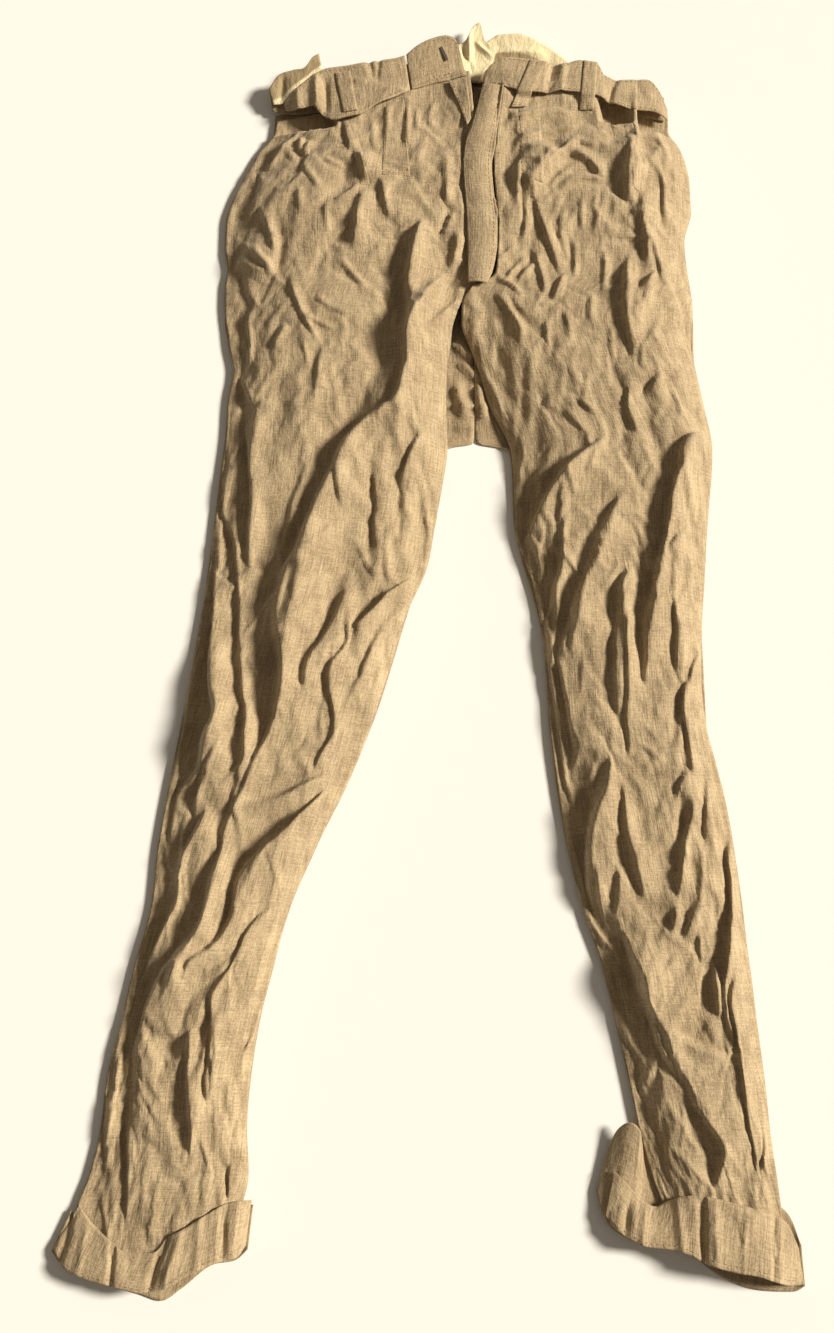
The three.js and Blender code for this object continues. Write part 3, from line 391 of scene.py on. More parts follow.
FRONT_RIGHT_LINES = lines([
    [(-2, 318, 6), (-9, 292, 14), (-13, 262, 20), (-12, 225, 26), (-14, 185, 28), (-22, 152, 30),
     (-45, 138, 26), (-62, 120, 26), (-73, 90, 32), (-90, 50, 32), (-98, 30, 30), (-107, 10, 28),
     (-112, -10, 26), (-112, -35, 28), (-106, -62, 30), (-108, -80, 28), (-112, -100, 18),
     (-118, -118, 13), (-126, -130, 7), (-131, -146, 5), (-139, -166, 5), (-149, -190, 5),
     (-150, -206, 7), (-158, -225, 11), (-162, -250, 13), (-168, -268, 17), (-184, -286, 12),
     (-195, -300, 16), (-204, -320, 16), (-209, -340, 12), (-211, -365, 7), (-212, -400, 6),
     (-212, -440, 6), (-211, -466, 4)],
    [(-160, 134, 3), (-160, 110, 6), (-161, 85, 6), (-162, 58, 4)],
    [(-154, 190, 3), (-147, 170, 6), (-138, 154, 4)],
    [(-147, 150, 3), (-141, 120, 4), (-139, 90, 5), (-138, 50, 5), (-137, 15, 3)],
    [(-166, 74, 3), (-152, 45, 5), (-146, 10, 5), (-143, -20, 6), (-141, -50, 7), (-140, -80, 9),
     (-135, -98, 12), (-136, -120, 13), (-134, -138, 12), (-150, -152, 4)],
    [(-163, 52, 3), (-165, 20, 5), (-164, -25, 6), (-165, -50, 11), (-163, -80, 18), (-158, -97, 22),
     (-166, -112, 20), (-169, -132, 20), (-172, -148, 14), (-189, -160, 8), (-191, -178, 5),
     (-197, -198, 3)],
    [(-71, 102, 3), (-67, 76, 5), (-64, 60, 3)],
    [(-41, 97, 3), (-38, 75, 5), (-40, 55, 5), (-38, 28, 3)],
    [(-60, 0, 4), (-70, -26, 11), (-90, -60, 9), (-92, -85, 5)],
    [(-61, -18, 3), (-59, -45, 5), (-73, -62, 5), (-74, -76, 4), (-70, -90, 4), (-68, -106, 5),
     (-69, -118, 5), (-76, -125, 4), (-86, -146, 3)],
    [(-6, 14, 6), (-30, -8, 9), (-58, -38, 7)],
    [(-4, 132, 4), (-14, 102, 8), (-20, 80, 4)],
    [(-68, -146, 3), (-80, -149, 6), (-100, -161, 8), (-116, -169, 8), (-140, -171, 4)],
    [(-72, -154, 3), (-81, -168, 10), (-93, -182, 13), (-105, -195, 14), (-120, -207, 14),
     (-132, -216, 14), (-138, -230, 12), (-140, -248, 11), (-147, -265, 11), (-158, -278, 9),
     (-173, -286, 6), (-175, -300, 4)],
    [(-163, -172, 4), (-168, -184, 12), (-175, -198, 12), (-186, -216, 3)],
    [(-160, -140, 2), (-166, -152, 4), (-177, -173, 3)],
    [(-183, -230, 7), (-186, -250, 8), (-195, -266, 14), (-201, -282, 18), (-210, -300, 12),
     (-219, -325, 8), (-227, -352, 7), (-230, -385, 6), (-231, -415, 4)],
    [(-110, -245, 2), (-120, -252, 3), (-130, -263, 4), (-136, -280, 4), (-142, -291, 4), (-150, -301, 5),
     (-156, -312, 8), (-154, -330, 9), (-154, -350, 8), (-157, -370, 8), (-156, -388, 4)],
    [(-138, -282, 3), (-150, -291, 5), (-162, -296, 3)],
    [(-171, -331, 5), (-171, -350, 12), (-170, -372, 15), (-167, -398, 8), (-165, -425, 4)],
    [(-122, -332, 4), (-129, -345, 6), (-133, -357, 3)],
    [(-130, -372, 3), (-140, -374, 4), (-151, -374, 3)],
    [(-138, -424, 4), (-138, -440, 6), (-138, -456, 5)],
])
FRONT_LEFT_LINES = lines([
    [(145, 125, 4), (130, 112, 9), (115, 100, 11), (97, 75, 12), (85, 50, 10), (75, 36, 5)],
    [(157, 78, 4), (146, 60, 8), (138, 45, 9), (130, 20, 9), (122, -2, 9), (114, -22, 9), (103, -60, 5)],
    [(104, -52, 4), (108, -80, 5), (111, -100, 5), (114, -122, 6), (114, -138, 3)],
    [(109, 48, 3), (108, 20, 6), (99, -12, 7), (94, -26, 5), (95, -50, 5), (97, -76, 5), (101, -100, 6),
     (103, -116, 6), (105, -150, 4), (107, -172, 4), (109, -200, 3)],
    [(161, 18, 3), (153, 0, 7), (147, -38, 8), (146, -60, 8), (146, -88, 7), (147, -105, 3)],
    [(156, -18, 3), (155, -50, 5), (155, -80, 6), (153, -104, 5), (155, -122, 3), (154, -138, 2)],
    [(230, 131, 3), (216, 127, 7), (205, 120, 13), (200, 95, 16), (193, 58, 15), (184, 25, 13),
     (178, -5, 11), (172, -24, 10), (169, -60, 7), (168, -80, 3)],
    [(211, 52, 3), (196, 36, 6), (188, 24, 3)],
    [(193, -8, 3), (194, -45, 6), (192, -70, 3)],
    [(199, -72, 4), (198, -90, 10), (199, -112, 9), (200, -135, 5), (202, -152, 3)],
    [(213, -48, 2), (206, -61, 5), (201, -78, 3)],
    [(213, -148, 3), (213, -170, 4), (211, -186, 4), (209, -204, 3)],
    [(201, -142, 3), (192, -156, 8), (187, -172, 4)],
    [(203, -168, 3), (199, -182, 8), (192, -200, 9), (189, -221, 9), (185, -244, 4)],
    [(141, -128, 3), (140, -141, 6), (137, -155, 9), (132, -166, 11), (126, -176, 11), (123, -190, 11),
     (122, -205, 12), (121, -225, 12), (122, -241, 8), (128, -256, 4)],
    [(149, -150, 3), (149, -175, 4), (151, -195, 5), (155, -212, 5), (159, -229, 4), (162, -242, 3)],
    [(143, -213, 3), (143, -235, 7), (139, -254, 4)],
    [(127, -214, 3), (128, -238, 7), (131, -256, 4)],
    [(186, -243, 5), (183, -256, 15), (179, -269, 6)],
    [(199, -243, 4), (197, -254, 12), (187, -272, 4)],
    [(200, -260, 3), (201, -276, 5), (202, -290, 4)],
    [(211, -285, 4), (211, -302, 10), (213, -320, 9), (213, -331, 4)],
    [(231, -186, 4), (231, -205, 10), (230, -225, 12), (228, -245, 10), (226, -262, 12), (224, -275, 14),
     (222, -290, 10), (217, -305, 6), (219, -330, 6), (222, -346, 3)],
    [(227, -290, 3), (225, -305, 6), (224, -322, 7), (226, -345, 7), (228, -370, 6), (229, -386, 5),
     (231, -400, 5), (234, -418, 4), (237, -438, 3)],
    [(144, -260, 4), (148, -274, 10), (153, -287, 18), (159, -298, 22), (161, -315, 12), (164, -332, 9),
     (167, -345, 9), (173, -356, 7), (180, -367, 3)],
    [(186, -374, 3), (190, -384, 8), (196, -393, 11), (205, -405, 13), (213, -415, 16), (211, -424, 13),
     (206, -434, 10), (202, -446, 8)],
    [(187, -282, 3), (178, -284, 5), (173, -296, 3)],
    [(219, -354, 3), (200, -350, 9), (182, -342, 6), (172, -337, 3)],
    [(241, -400, 3), (244, -410, 6), (243, -421, 7), (239, -434, 5)],
    [(105, 166, 3), (98, 158, 5), (91, 149, 3)],
    [(119, 161, 3), (128, 151, 5), (137, 141, 3)],
    [(165, 169, 3), (162, 148, 5), (169, 124, 3)],
    [(193, 181, 4), (183, 168, 8), (175, 155, 4)],
])
# The seat between the legs, seen through the gap.
SEAT_FOLDS = table(FOLD, [
    [22, 222, 34, 204, 52, 196, 5, 8, 5],
    [26, 204, 38, 186, 56, 180, 5, 8, 5],
    [24, 186, 30, 166, 34, 142, 6, 7, 6],
    [44, 184, 44, 164, 50, 144, 6, 7, 6],
    [26, 160, 40, 158, 54, 160, 5, 6, 4],
    [24, 138, 34, 146, 42, 138, 5, 5, 4],
])
BACK_FOLDS = table(FOLD, [
    [-20, 330, -70, 210, -104, 60, 14, 14, 1.4],
    [-120, 250, -128, 120, -146, -40, 12, 12, 1.2],
    [-70, 10, -110, -120, -160, -260, 12, 12, 1.4],
    [-150, -240, -176, -340, -180, -430, 12, 12, 1.3],
    [110, 330, 150, 220, 158, 80, 14, 14, 1.4],
    [190, 240, 186, 100, 170, -60, 12, 12, 1.2],
    [130, 20, 150, -120, 160, -260, 12, 12, 1.4],
    [200, -180, 200, -320, 216, -430, 12, 12, 1.3],
])
PLACKET_ROWS = table("westX westY eastX eastY", [
    [49, 446, 66, 444],
    [45, 428, 63.4, 426],
    [39.5, 408, 61, 406],
    [34, 390, 58.6, 388],
    [32, 368, 56, 366],
    [33, 344, 57.3, 342],
    [34.5, 318, 59.8, 316],
    [35, 292, 59, 290],
    [35, 268, 54.6, 267],
    [35.2, 259.5, 50.5, 258.5],
])
PLACKET_PUCKERS = table(FOLD, [
    [34, 402, 44, 404, 64, 404, 5, 5, 0.8],
    [30, 372, 44, 370, 60, 374, 4, 4, 0.7],
    [30, 344, 44, 340, 62, 342, 4, 4, 0.7],
    [32, 318, 46, 320, 62, 316, 4, 4, 0.7],
    [32, 290, 46, 288, 60, 292, 4, 4, 0.7],
])
STRIP = "upX upY downX downY upZ downZ"
WAISTBAND_RIGHT_ROWS = table(STRIP, [
    [-121, 438, -119, 431, 12, 11],
    [-112, 447, -108, 428, 17, 17],
    [-100, 458, -97, 430, 19, 20],
    [-88, 466, -88, 421, 20, 22],
    [-77, 468, -77, 414, 21, 24],
    [-66, 469, -66, 416, 22, 26],
    [-52, 471, -52, 419, 23, 27],
    [-40, 473, -40, 428, 23, 27],
    [-28, 474, -26, 435, 24, 26],
    [-17.2, 477, -12.6, 442, 24, 25],
])
WAISTBAND_RIGHT_FOLDS = table(FOLD, [
    [-108, 452, -110, 438, -106, 422, 5, 5, 2.4],
    [-94, 468, -92, 444, -92, 418, 6, 6, 3],
    [-86, 460, -84, 440, -84, 412, 4, 5, -2.5],
    [-62, 452, -56, 450, -48, 450, 5, 5, 1.2],
    [-50, 480, -46, 466, -44, 448, 4, 4, -2.2],
    [-39, 480, -41, 464, -41, 446, 4, 4, -2.2],
    [-36, 438, -28, 446, -14, 440, 5, 5, 2],
])
WAISTBAND_TAB_RIGHT_ROWS = table(STRIP, [
    [-16, 478, -11.2, 445, 24, 20],
    [-6, 486, -2, 448, 26, 21],
    [6, 492, 8, 451, 27, 21],
    [18, 495, 20, 453, 27, 21],
    [26, 492, 29, 455, 26, 21],
    [29.5, 484, 36, 456, 25, 21],
])
WAISTBAND_TAB_RIGHT_FOLDS = table(FOLD, [
    [-14, 470, 2, 480, 16, 484, 8, 8, 0.8],
])
WAISTBAND_LEFT_ROWS = table(STRIP, [
    [50, 458, 50, 447, 24, 25],
    [58, 468, 60, 446, 26, 27],
    [72, 473, 72, 442, 27, 29],
    [88, 471, 85, 438, 28, 30],
    [104, 468, 99, 438, 27, 29],
    [118, 468, 116, 440, 25, 27],
    [133, 472, 133, 439, 24, 26],
    [148, 470, 148, 436, 22, 25],
    [154, 460, 158, 432, 20, 23],
    [168, 457, 168, 429, 19, 22],
    [180, 458, 178, 427, 18, 20],
    [192, 459, 190, 427, 16, 18],
    [201, 450, 200, 425, 14, 16],
    [208, 433, 208, 421, 11, 12],
])
WAISTBAND_LEFT_FOLDS = table(FOLD, [
    [112, 476, 108, 456, 104, 432, 5, 8, -5],
    [120, 472, 117, 452, 116, 434, 5, 5, 2],
    [168, 462, 158, 446, 156, 426, 6, 5, -4],
    [172, 432, 186, 446, 198, 440, 5, 6, 2.4],
    [184, 464, 180, 448, 188, 438, 5, 5, -1.5],
])
WAISTBAND_BACK_ROWS = table(STRIP, [
    [-134, 452, -131, 434, 9, 7],
    [-124, 464, -120, 432, 8, 5.4],
    [-92, 470, -90, 434, 5.4, 5.4],
    [-40, 476, -40, 444, 5.4, 5.4],
    [10, 490, 10, 455, 5.4, 5.4],
    [44, 500, 44, 463, 5.4, 5.4],
    [75, 506, 75, 462, 6, 5.4],
    [100, 499, 98, 456, 6, 5.4],
    [118, 487, 114, 450, 5.4, 5.4],
    [140, 470, 138, 442, 5.4, 5.4],
    [180, 458, 178, 432, 6, 5.4],
    [206, 446, 206, 424, 9, 7],
])
FACING_RIGHT_ROWS = table(STRIP, [
    [-134, 451, -130, 437.4, 14, 11],
    [-126, 463, -121.6, 438.7, 16, 11.6],
    [-114, 467, -112.6, 447.3, 18, 16],
    [-104, 468, -102.4, 456.5, 20, 18],
    [-96, 478, -94.8, 462.1, 21, 19],
    [-91, 481, -88.3, 466.7, 21, 20],
])
FACING_RIGHT_FOLDS = table(FOLD, [
    [-122, 466, -122, 452, -124, 436, 4, 4, -2],
])
FACING_BACK_ROWS = table(STRIP, [
    [54, 500, 54, 476, 12, 9],
    [66, 506, 66, 474, 14, 9],
    [80, 506, 80, 472, 15, 9],
    [94, 502, 94, 468, 14, 9],
    [108, 494, 106, 462, 12, 9],
    [122, 483, 118, 458, 10, 8.5],
    [134, 471, 130, 454, 9, 8.5],
])
FACING_BACK_FOLDS = table(FOLD, [
    [58, 488, 84, 492, 112, 484, 7, 7, 2.4],
    [66, 474, 96, 480, 128, 470, 6, 6, -1.5],
])
LINING_BACK_ROWS = table(STRIP, [
    [28, 498, 31, 480, 10, 14],
    [37, 503, 35, 468, 11, 13],
    [42, 515, 40, 461, 12, 12],
    [48, 520, 46, 462, 12, 11],
    [52, 503, 51, 470, 12, 11],
    [62, 490, 58, 476, 12, 11],
])
LINING_BACK_FOLDS = table(FOLD, [
    [38, 520, 40, 494, 36, 470, 5, 5, 3.4],
    [42, 502, 52, 490, 62, 482, 5, 5, 2.4],
    [32, 498, 36, 484, 42, 464, 4, 4, -2.2],
])
FLY_SHIELD_RIGHT_ROWS = table(STRIP, [
    [20, 452, 35.4, 408, 24, 26],
    [28, 453, 37.2, 410, 24, 26],
    [35.5, 454, 39, 414, 24, 26],
])
PLEAT_RIGHT_ROWS = table(STRIP, [
    [-35, 428, -36, 358, 0, 0],
    [-26, 432, -25, 358, 0, 0],
    [-18, 437, -12.5, 358, 0, 0],
])
PLEAT_LEFT_ROWS = table(STRIP, [
    [79, 434, 80, 350, 0, 0],
    [89, 434, 89, 349, 0, 0],
    [98, 434, 99, 350, 0, 0],
])
POCKET_EDGE_RIGHT_ROWS = table(STRIP, [
    [-67, 411, -54, 349, 0, 0],
    [-59, 411, -46, 350, 0, 0],
])
POCKET_EDGE_LEFT_ROWS = table(STRIP, [
    [168, 425, 171, 342, 0, 0],
    [176, 425, 179, 342, 0, 0],
])
BELT_LOOP_RIGHT_ROWS = table(STRIP, [
    [-77, 461, -69, 420, 0, 0],
    [-64, 462, -57, 421, 0, 0],
])
BELT_LOOP_LEFT_FRONT_ROWS = table(STRIP, [
    [90, 470, 73, 424, 0, 0],
    [104, 468, 86, 426, 0, 0],
])
BELT_LOOP_LEFT_SIDE_ROWS = table(STRIP, [
    [136, 471, 131, 424, 0, 0],
    [148, 470, 143, 423, 0, 0],
])
CUFF_RIGHT_BACK_ROWS = table(STRIP, [
    [-252, -459, -264, -486, 4.4, 4.4],
    [-246, -464, -256, -496, 1.5, 1.5],
    [-222, -470, -224, -508, 1.5, 1.5],
    [-200, -470, -200, -515, 1.5, 1.5],
    [-186, -468, -186, -519, 1.5, 1.5],
    [-172, -466, -172, -511, 1.5, 1.5],
    [-152, -460, -152, -496, 1.5, 1.5],
    [-130, -456, -134, -492, 1.5, 1.5],
    [-123, -455, -126, -485, 4.4, 4.4],
])
CUFF_RIGHT_FRONT_ROWS = table(STRIP, [
    [-246, -455, -263, -484, 5.5, 5],
    [-241, -461, -254, -496, 13, 11],
    [-232, -470, -238, -503, 19, 16],
    [-220, -479, -222, -507, 21, 18],
    [-211, -485, -208, -510, 22, 19],
    [-200, -486, -198, -512, 22, 19],
    [-189, -485, -190, -511, 22, 19],
    [-181, -476, -178, -508, 23, 20],
    [-168, -469, -168, -502, 23, 20],
    [-155, -461, -155, -496, 22, 19],
    [-141, -454, -141, -491, 20, 17],
    [-130, -452, -132, -489, 15, 12],
    [-124, -452, -127, -482, 5.5, 5],
])
CUFF_RIGHT_FRONT_FOLDS = table(FOLD, [
    [-250, -450, -253, -474, -258, -504, 4, 4, -2.5],
    [-238, -456, -240, -480, -244, -508, 5, 5, 1.6],
    [-219, -470, -219, -494, -219, -518, 4, 4, -3.4],
    [-178, -468, -186, -490, -196, -520, 5, 4, -3.4],
    [-170, -466, -176, -486, -184, -516, 5, 5, 2],
    [-158, -456, -160, -480, -160, -508, 5, 5, 1.8],
    [-142, -446, -142, -470, -142, -500, 4, 5, -4],
    [-132, -446, -133, -470, -134, -500, 5, 5, 1.6],
])
CUFF_LEFT_BACK_ROWS = table(STRIP, [
    [130, -417, 121, -445, 4.5, 4.5],
    [136, -405, 124, -461, 7.5, 6.5],
    [145, -399, 131, -471, 12.5, 8],
    [152, -404, 143, -478, 14, 3.5],
    [156, -416, 153, -482, 3, 1.5],
    [168, -428, 167, -484, 1.5, 1.5],
    [186, -432, 186, -489, 1.5, 1.5],
    [206, -438, 205, -502, 1.5, 1.5],
    [230, -446, 228, -511, 1.5, 1.5],
    [257, -462, 257, -513, 1.5, 1.5],
    [264, -482, 265, -509, 4.4, 4.4],
])
CUFF_LEFT_FRONT_ROWS = table(STRIP, [
    [133, -432, 126, -462, 9, 7],
    [141, -440, 134, -472, 16, 13],
    [152, -451, 150, -481, 18, 16],
    [162, -456, 162, -483, 18.5, 17],
    [171, -452, 172, -484, 19.5, 18],
    [180, -449, 182, -487, 20.5, 19],
    [192, -448, 190, -491, 20.5, 19],
    [199, -449, 197, -494, 23.5, 22],
    [212, -452, 212, -498, 24.5, 23],
    [230, -457, 229, -501, 22.5, 21],
    [245, -462, 242, -505, 20.5, 18],
    [254, -467, 254, -508, 14.5, 11],
    [262, -484, 264, -508, 5.5, 5],
])
CUFF_LEFT_FRONT_FOLDS = table(FOLD, [
    [146, -436, 142, -456, 138, -480, 5, 5, -3],
    [136, -424, 132, -446, 128, -474, 4, 4, 1.6],
    [156, -450, 152, -466, 150, -490, 5, 5, 2],
    [176, -444, 178, -466, 178, -494, 5, 5, 1.6],
    [194, -440, 194, -466, 192, -500, 5, 3, -3.4],
    [203, -442, 202, -466, 200, -504, 4, 5, 1.6],
    [226, -448, 222, -474, 218, -508, 3, 3, 1],
    [247, -454, 243, -480, 240, -514, 4, 5, -3],
])

# Fields over the laid garment, one height a cell.
GRID_X, GRID_Y = np.meshgrid(
    FIELD_WEST + CELL * np.arange(FIELD_WIDE), FIELD_SOUTH + CELL * np.arange(FIELD_LONG))
LATTICE = 160


def smooth(k):
    c = np.clip(k, 0, 1)
    return c * c * (3 - 2 * c)


def mix(a, b, k):
    return a + (b - a) * k


def corners(lattice, i, j):
    """The four lattice values around each cell: south-west, south-east, north-west, north-east."""
    return [lattice[(j + b) % LATTICE, (i + a) % LATTICE] for b in (0, 1) for a in (0, 1)]


def noise(size, seed):
    """Smooth noise from -1 to 1 whose lumps are about size across."""
    lattice = np.random.RandomState(seed).uniform(-1, 1, (LATTICE, LATTICE))
    fx, fy = GRID_X / size + 40, GRID_Y / size + 40
    i, j = np.floor(fx).astype(int), np.floor(fy).astype(int)
    kx, ky = smooth(fx - i), smooth(fy - j)
    a, b, c, d = corners(lattice, i, j)
    return mix(mix(a, b, kx), mix(c, d, kx), ky)


def facets(wide, long, turn, seed):
    """Flat facets that meet along creases, from -1 to 1: wide by long millimetres, turned by turn."""
    random = np.random.RandomState(seed)
    lattice = random.uniform(-1, 1, (LATTICE, LATTICE))
    split = random.uniform(0, 1, (LATTICE, LATTICE)) < 0.5
    cosine, sine = math.cos(turn), math.sin(turn)
    x = GRID_X + 0.3 * wide * noise(wide * 1.7, seed + 1) + 0.16 * wide * noise(wide * 0.6, seed + 2)
    y = GRID_Y + 0.3 * long * noise(wide * 1.9, seed + 3) + 0.12 * long * noise(wide * 0.7, seed + 4)
    fx, fy = (x * cosine - y * sine) / wide + 60, (x * sine + y * cosine) / long + 60
    fx = fx + 0.5 * np.floor(fy)
    i, j = np.floor(fx).astype(int), np.floor(fy).astype(int)
    kx, ky = fx - i, fy - j
    a, b, c, d = corners(lattice, i, j)
    rising = np.where(kx > ky, a + (b - a) * kx + (d - b) * ky, a + (c - a) * ky + (d - c) * kx)
    falling = np.where(
        kx + ky < 1, a + (b - a) * kx + (c - a) * ky, d + (c - d) * (1 - kx) + (b - d) * (1 - ky))
    return np.where(split[j % LATTICE, i % LATTICE], rising, falling)


def blur(field, sigma):
    reach = int(math.ceil(3 * sigma / CELL))
    k = np.exp(-0.5 * (np.arange(-reach, reach + 1) * CELL / sigma) ** 2)
    k /= k.sum()
    for axis in (0, 1):
        padded = np.pad(field, [(reach, reach) if a == axis else (0, 0) for a in (0, 1)], mode="edge")
        cells = np.arange(field.shape[axis])
        field = sum(w * np.take(padded, n + cells, axis=axis) for n, w in enumerate(k))
    return field


def sample(field, x, y):
    fx = np.clip((x - FIELD_WEST) / CELL, 0, FIELD_WIDE - 1.001)
    fy = np.clip((y - FIELD_SOUTH) / CELL, 0, FIELD_LONG - 1.001)
    i, j = fx.astype(int), fy.astype(int)
    kx, ky = fx - i, fy - j
    return mix(mix(field[j, i], field[j, i + 1], kx), mix(field[j + 1, i], field[j + 1, i + 1], kx), ky)


WARP_X = 2.6 * noise(34, 11) + 1.3 * noise(14, 12)
WARP_Y = 3.4 * noise(38, 13) + 1.4 * noise(15, 14)
REACH_NOISE = 1 + 0.22 * noise(26, 15)
HIGH_NOISE = 1 + 0.25 * noise(30, 16) + 0.12 * noise(11, 17)


def near_line(lx, ly, room, wander):
    """The window of cells around a line of points, how far each cell is from the line, on which side of it
    (positive is left of its run), the nearest stretch of the line and the share along that stretch."""
    i0 = int(max(0, (lx.min() - room - FIELD_WEST) / CELL))
    i1 = int(min(FIELD_WIDE, (lx.max() + room - FIELD_WEST) / CELL + 1))
    j0 = int(max(0, (ly.min() - room - FIELD_SOUTH) / CELL))
    j1 = int(min(FIELD_LONG, (ly.max() + room - FIELD_SOUTH) / CELL + 1))
    window = (slice(j0, j1), slice(i0, i1))
    x, y = GRID_X[window] + wander * WARP_X[window], GRID_Y[window] + wander * WARP_Y[window]
    least, side = np.full(x.shape, 1e9), np.ones(x.shape)
    stretch, share = np.zeros(x.shape, dtype=int), np.zeros(x.shape)
    for n, (dx, dy) in enumerate(zip(np.diff(lx), np.diff(ly))):
        t = np.clip(((x - lx[n]) * dx + (y - ly[n]) * dy) / (dx * dx + dy * dy), 0, 1)
        away = np.hypot(x - lx[n] - t * dx, y - ly[n] - t * dy)
        nearer = away < least
        least = np.where(nearer, away, least)
        side = np.where(nearer, dx * (y - ly[n]) - dy * (x - lx[n]), side)
        stretch, share = np.where(nearer, n, stretch), np.where(nearer, t, share)
    return window, least, side, stretch, share


def fold_field(folds, gain=1.0, wander=1.0):
    """Sum of the folds: a crest line from one point by another to a third, half widths and height."""
    total = np.zeros_like(GRID_X)
    steps = 14
    k = np.linspace(0, 1, steps + 1)
    for fold in folds:
        lx, ly = (
            (1 - k) ** 2 * fold["from" + a] + 2 * k * (1 - k) * fold["by" + a] + k * k * fold["to" + a]
            for a in "XY")
        room = 1.4 * max(fold["reachA"], fold["reachB"]) + 6
        window, least, side, stretch, share = near_line(lx, ly, room, wander)
        along = (stretch + share) / steps
        ridge = fold["high"] > 0
        steep = STEEP_SHARE if ridge and fold["reachA"] > 6 and wander == 1 else 1
        reach = np.where(side > 0, fold["reachB"], max(3, steep * fold["reachA"])) * REACH_NOISE[window]
        q = np.clip(least / reach, 0, 1)
        shape = (1 - q ** 1.2) ** 1.45 if ridge else (1 - q) ** 1.3
        high = gain * fold["high"] * HIGH_NOISE[window] * (1 if ridge or wander != 1 else DENT_SHARE)
        total[window] += high * shape * smooth(np.minimum(along, 1 - along) / 0.28)
    return total


def small_creases(west, south, east, north, seed):
    """Rows of short sharp creases scattered over an area, most of them running down the leg."""
    random = np.random.RandomState(seed)
    rows = []
    for _ in range(SMALL_CREASES):
        x, y = random.uniform(west, east), random.uniform(south, north)
        turn, long = random.normal(0.1, 0.62), random.uniform(12, 46)
        dx, dy = math.sin(turn) * long / 2, math.cos(turn) * long / 2
        bend = random.uniform(-0.3, 0.3)
        place = 0.55 if y > HIP_Y else 0.9 if y > KNEE_Y else 0.6
        high = random.uniform(0.7, 2.1) * (1 if random.uniform() < 0.72 else -0.8) * place
        ends = [x + dx, y + dy, x + bend * dy, y - bend * dx, x - dx, y - dy]
        rows.append([*ends, 2, random.uniform(4, 10), high])
    return table(FOLD, rows)


def line_field(rows):
    """Sum of the long folds: from the crest the cloth drops steeply west into a trough and comes back level
    past the dark band, and it eases down on the east side."""
    total = np.zeros_like(GRID_X)
    for row in rows:
        given = np.array([[p["x"], p["y"], p["dark"]] for p in row], dtype=float)
        length = np.concatenate([[0], np.cumsum(np.hypot(*np.diff(given[:, :2], axis=0).T))])
        place = np.linspace(0, length[-1], max(4, int(length[-1] / LINE_STEP)) + 1)
        lx, ly, wide = (np.interp(place, length, column) for column in given.T)
        for _ in range(2):
            for values in (lx, ly, wide):
                values[1:-1] = (values[:-2] + 2 * values[1:-1] + values[2:]) / 4
        window, least, side, stretch, share = near_line(lx, ly, 1.9 * wide.max() + 16, 0.35)
        along, dark = place[stretch] + share * LINE_STEP, mix(wide[stretch], wide[stretch + 1], share)
        drop = np.minimum(0.68 * dark + 1.2, MOST_DROP)
        flank, level = 0.25 * dark + 1.6, 1.8 * dark + 5
        east = 0.6 * drop * (1 - np.clip(least / (1.1 * dark + 10), 0, 1)) ** 1.6
        west = mix(0.6, -0.4, smooth(least / flank)) * (1 - smooth((least - flank) / (level - flank))) * drop
        ends = smooth(np.minimum(along, length[-1] - along) / 12)
        total[window] += np.where(side > 0, east, west) * ends * (0.9 + 0.25 * (HIGH_NOISE[window] - 1))
    return total


def stations(rows, keys, places):
    """The columns of a table at places from 0 to 1 along the piece, smooth and never past the stations."""
    columns = list(rows[0])
    values = {key: np.array([float(row[key]) for row in rows]) for key in columns}
    mid_x = (values[keys[0]] + values[keys[2]]) / 2
    mid_y = (values[keys[1]] + values[keys[3]]) / 2
    place = np.concatenate([[0], np.cumsum(np.hypot(np.diff(mid_x), np.diff(mid_y)) ** 0.65)])
    at = np.clip(places, 0, 1) * place[-1]
    i = np.clip(np.searchsorted(place, at, side="left") - 1, 0, len(rows) - 2)
    span = place[i + 1] - place[i]
    k = (at - place[i]) / span
    out = {}
    for key in columns:
        v = values[key]
        rise = np.diff(v) / np.diff(place)
        before, after = rise[:-1], rise[1:]
        least = np.minimum(np.abs(before + after) / 2, 3 * np.minimum(np.abs(before), np.abs(after)))
        inner = np.where(before * after <= 0, 0, np.sign(before) * least)
        slope = np.concatenate([[rise[0]], inner, [rise[-1]]])
        out[key] = ((2 * k ** 3 - 3 * k ** 2 + 1) * v[i] + (k ** 3 - 2 * k ** 2 + k) * slope[i] * span
                    + (3 * k ** 2 - 2 * k ** 3) * v[i + 1] + (k ** 3 - k ** 2) * slope[i + 1] * span)
    return out


# Cloth pieces: a grid of points with the top height of the cloth at each.
def grid_faces(rows, columns):
    j, i = np.meshgrid(np.arange(rows - 1), np.arange(columns - 1), indexing="ij")
    a = (j * columns + i).ravel()
    return np.stack([a, a + columns, a + columns + 1, a + 1], axis=-1)


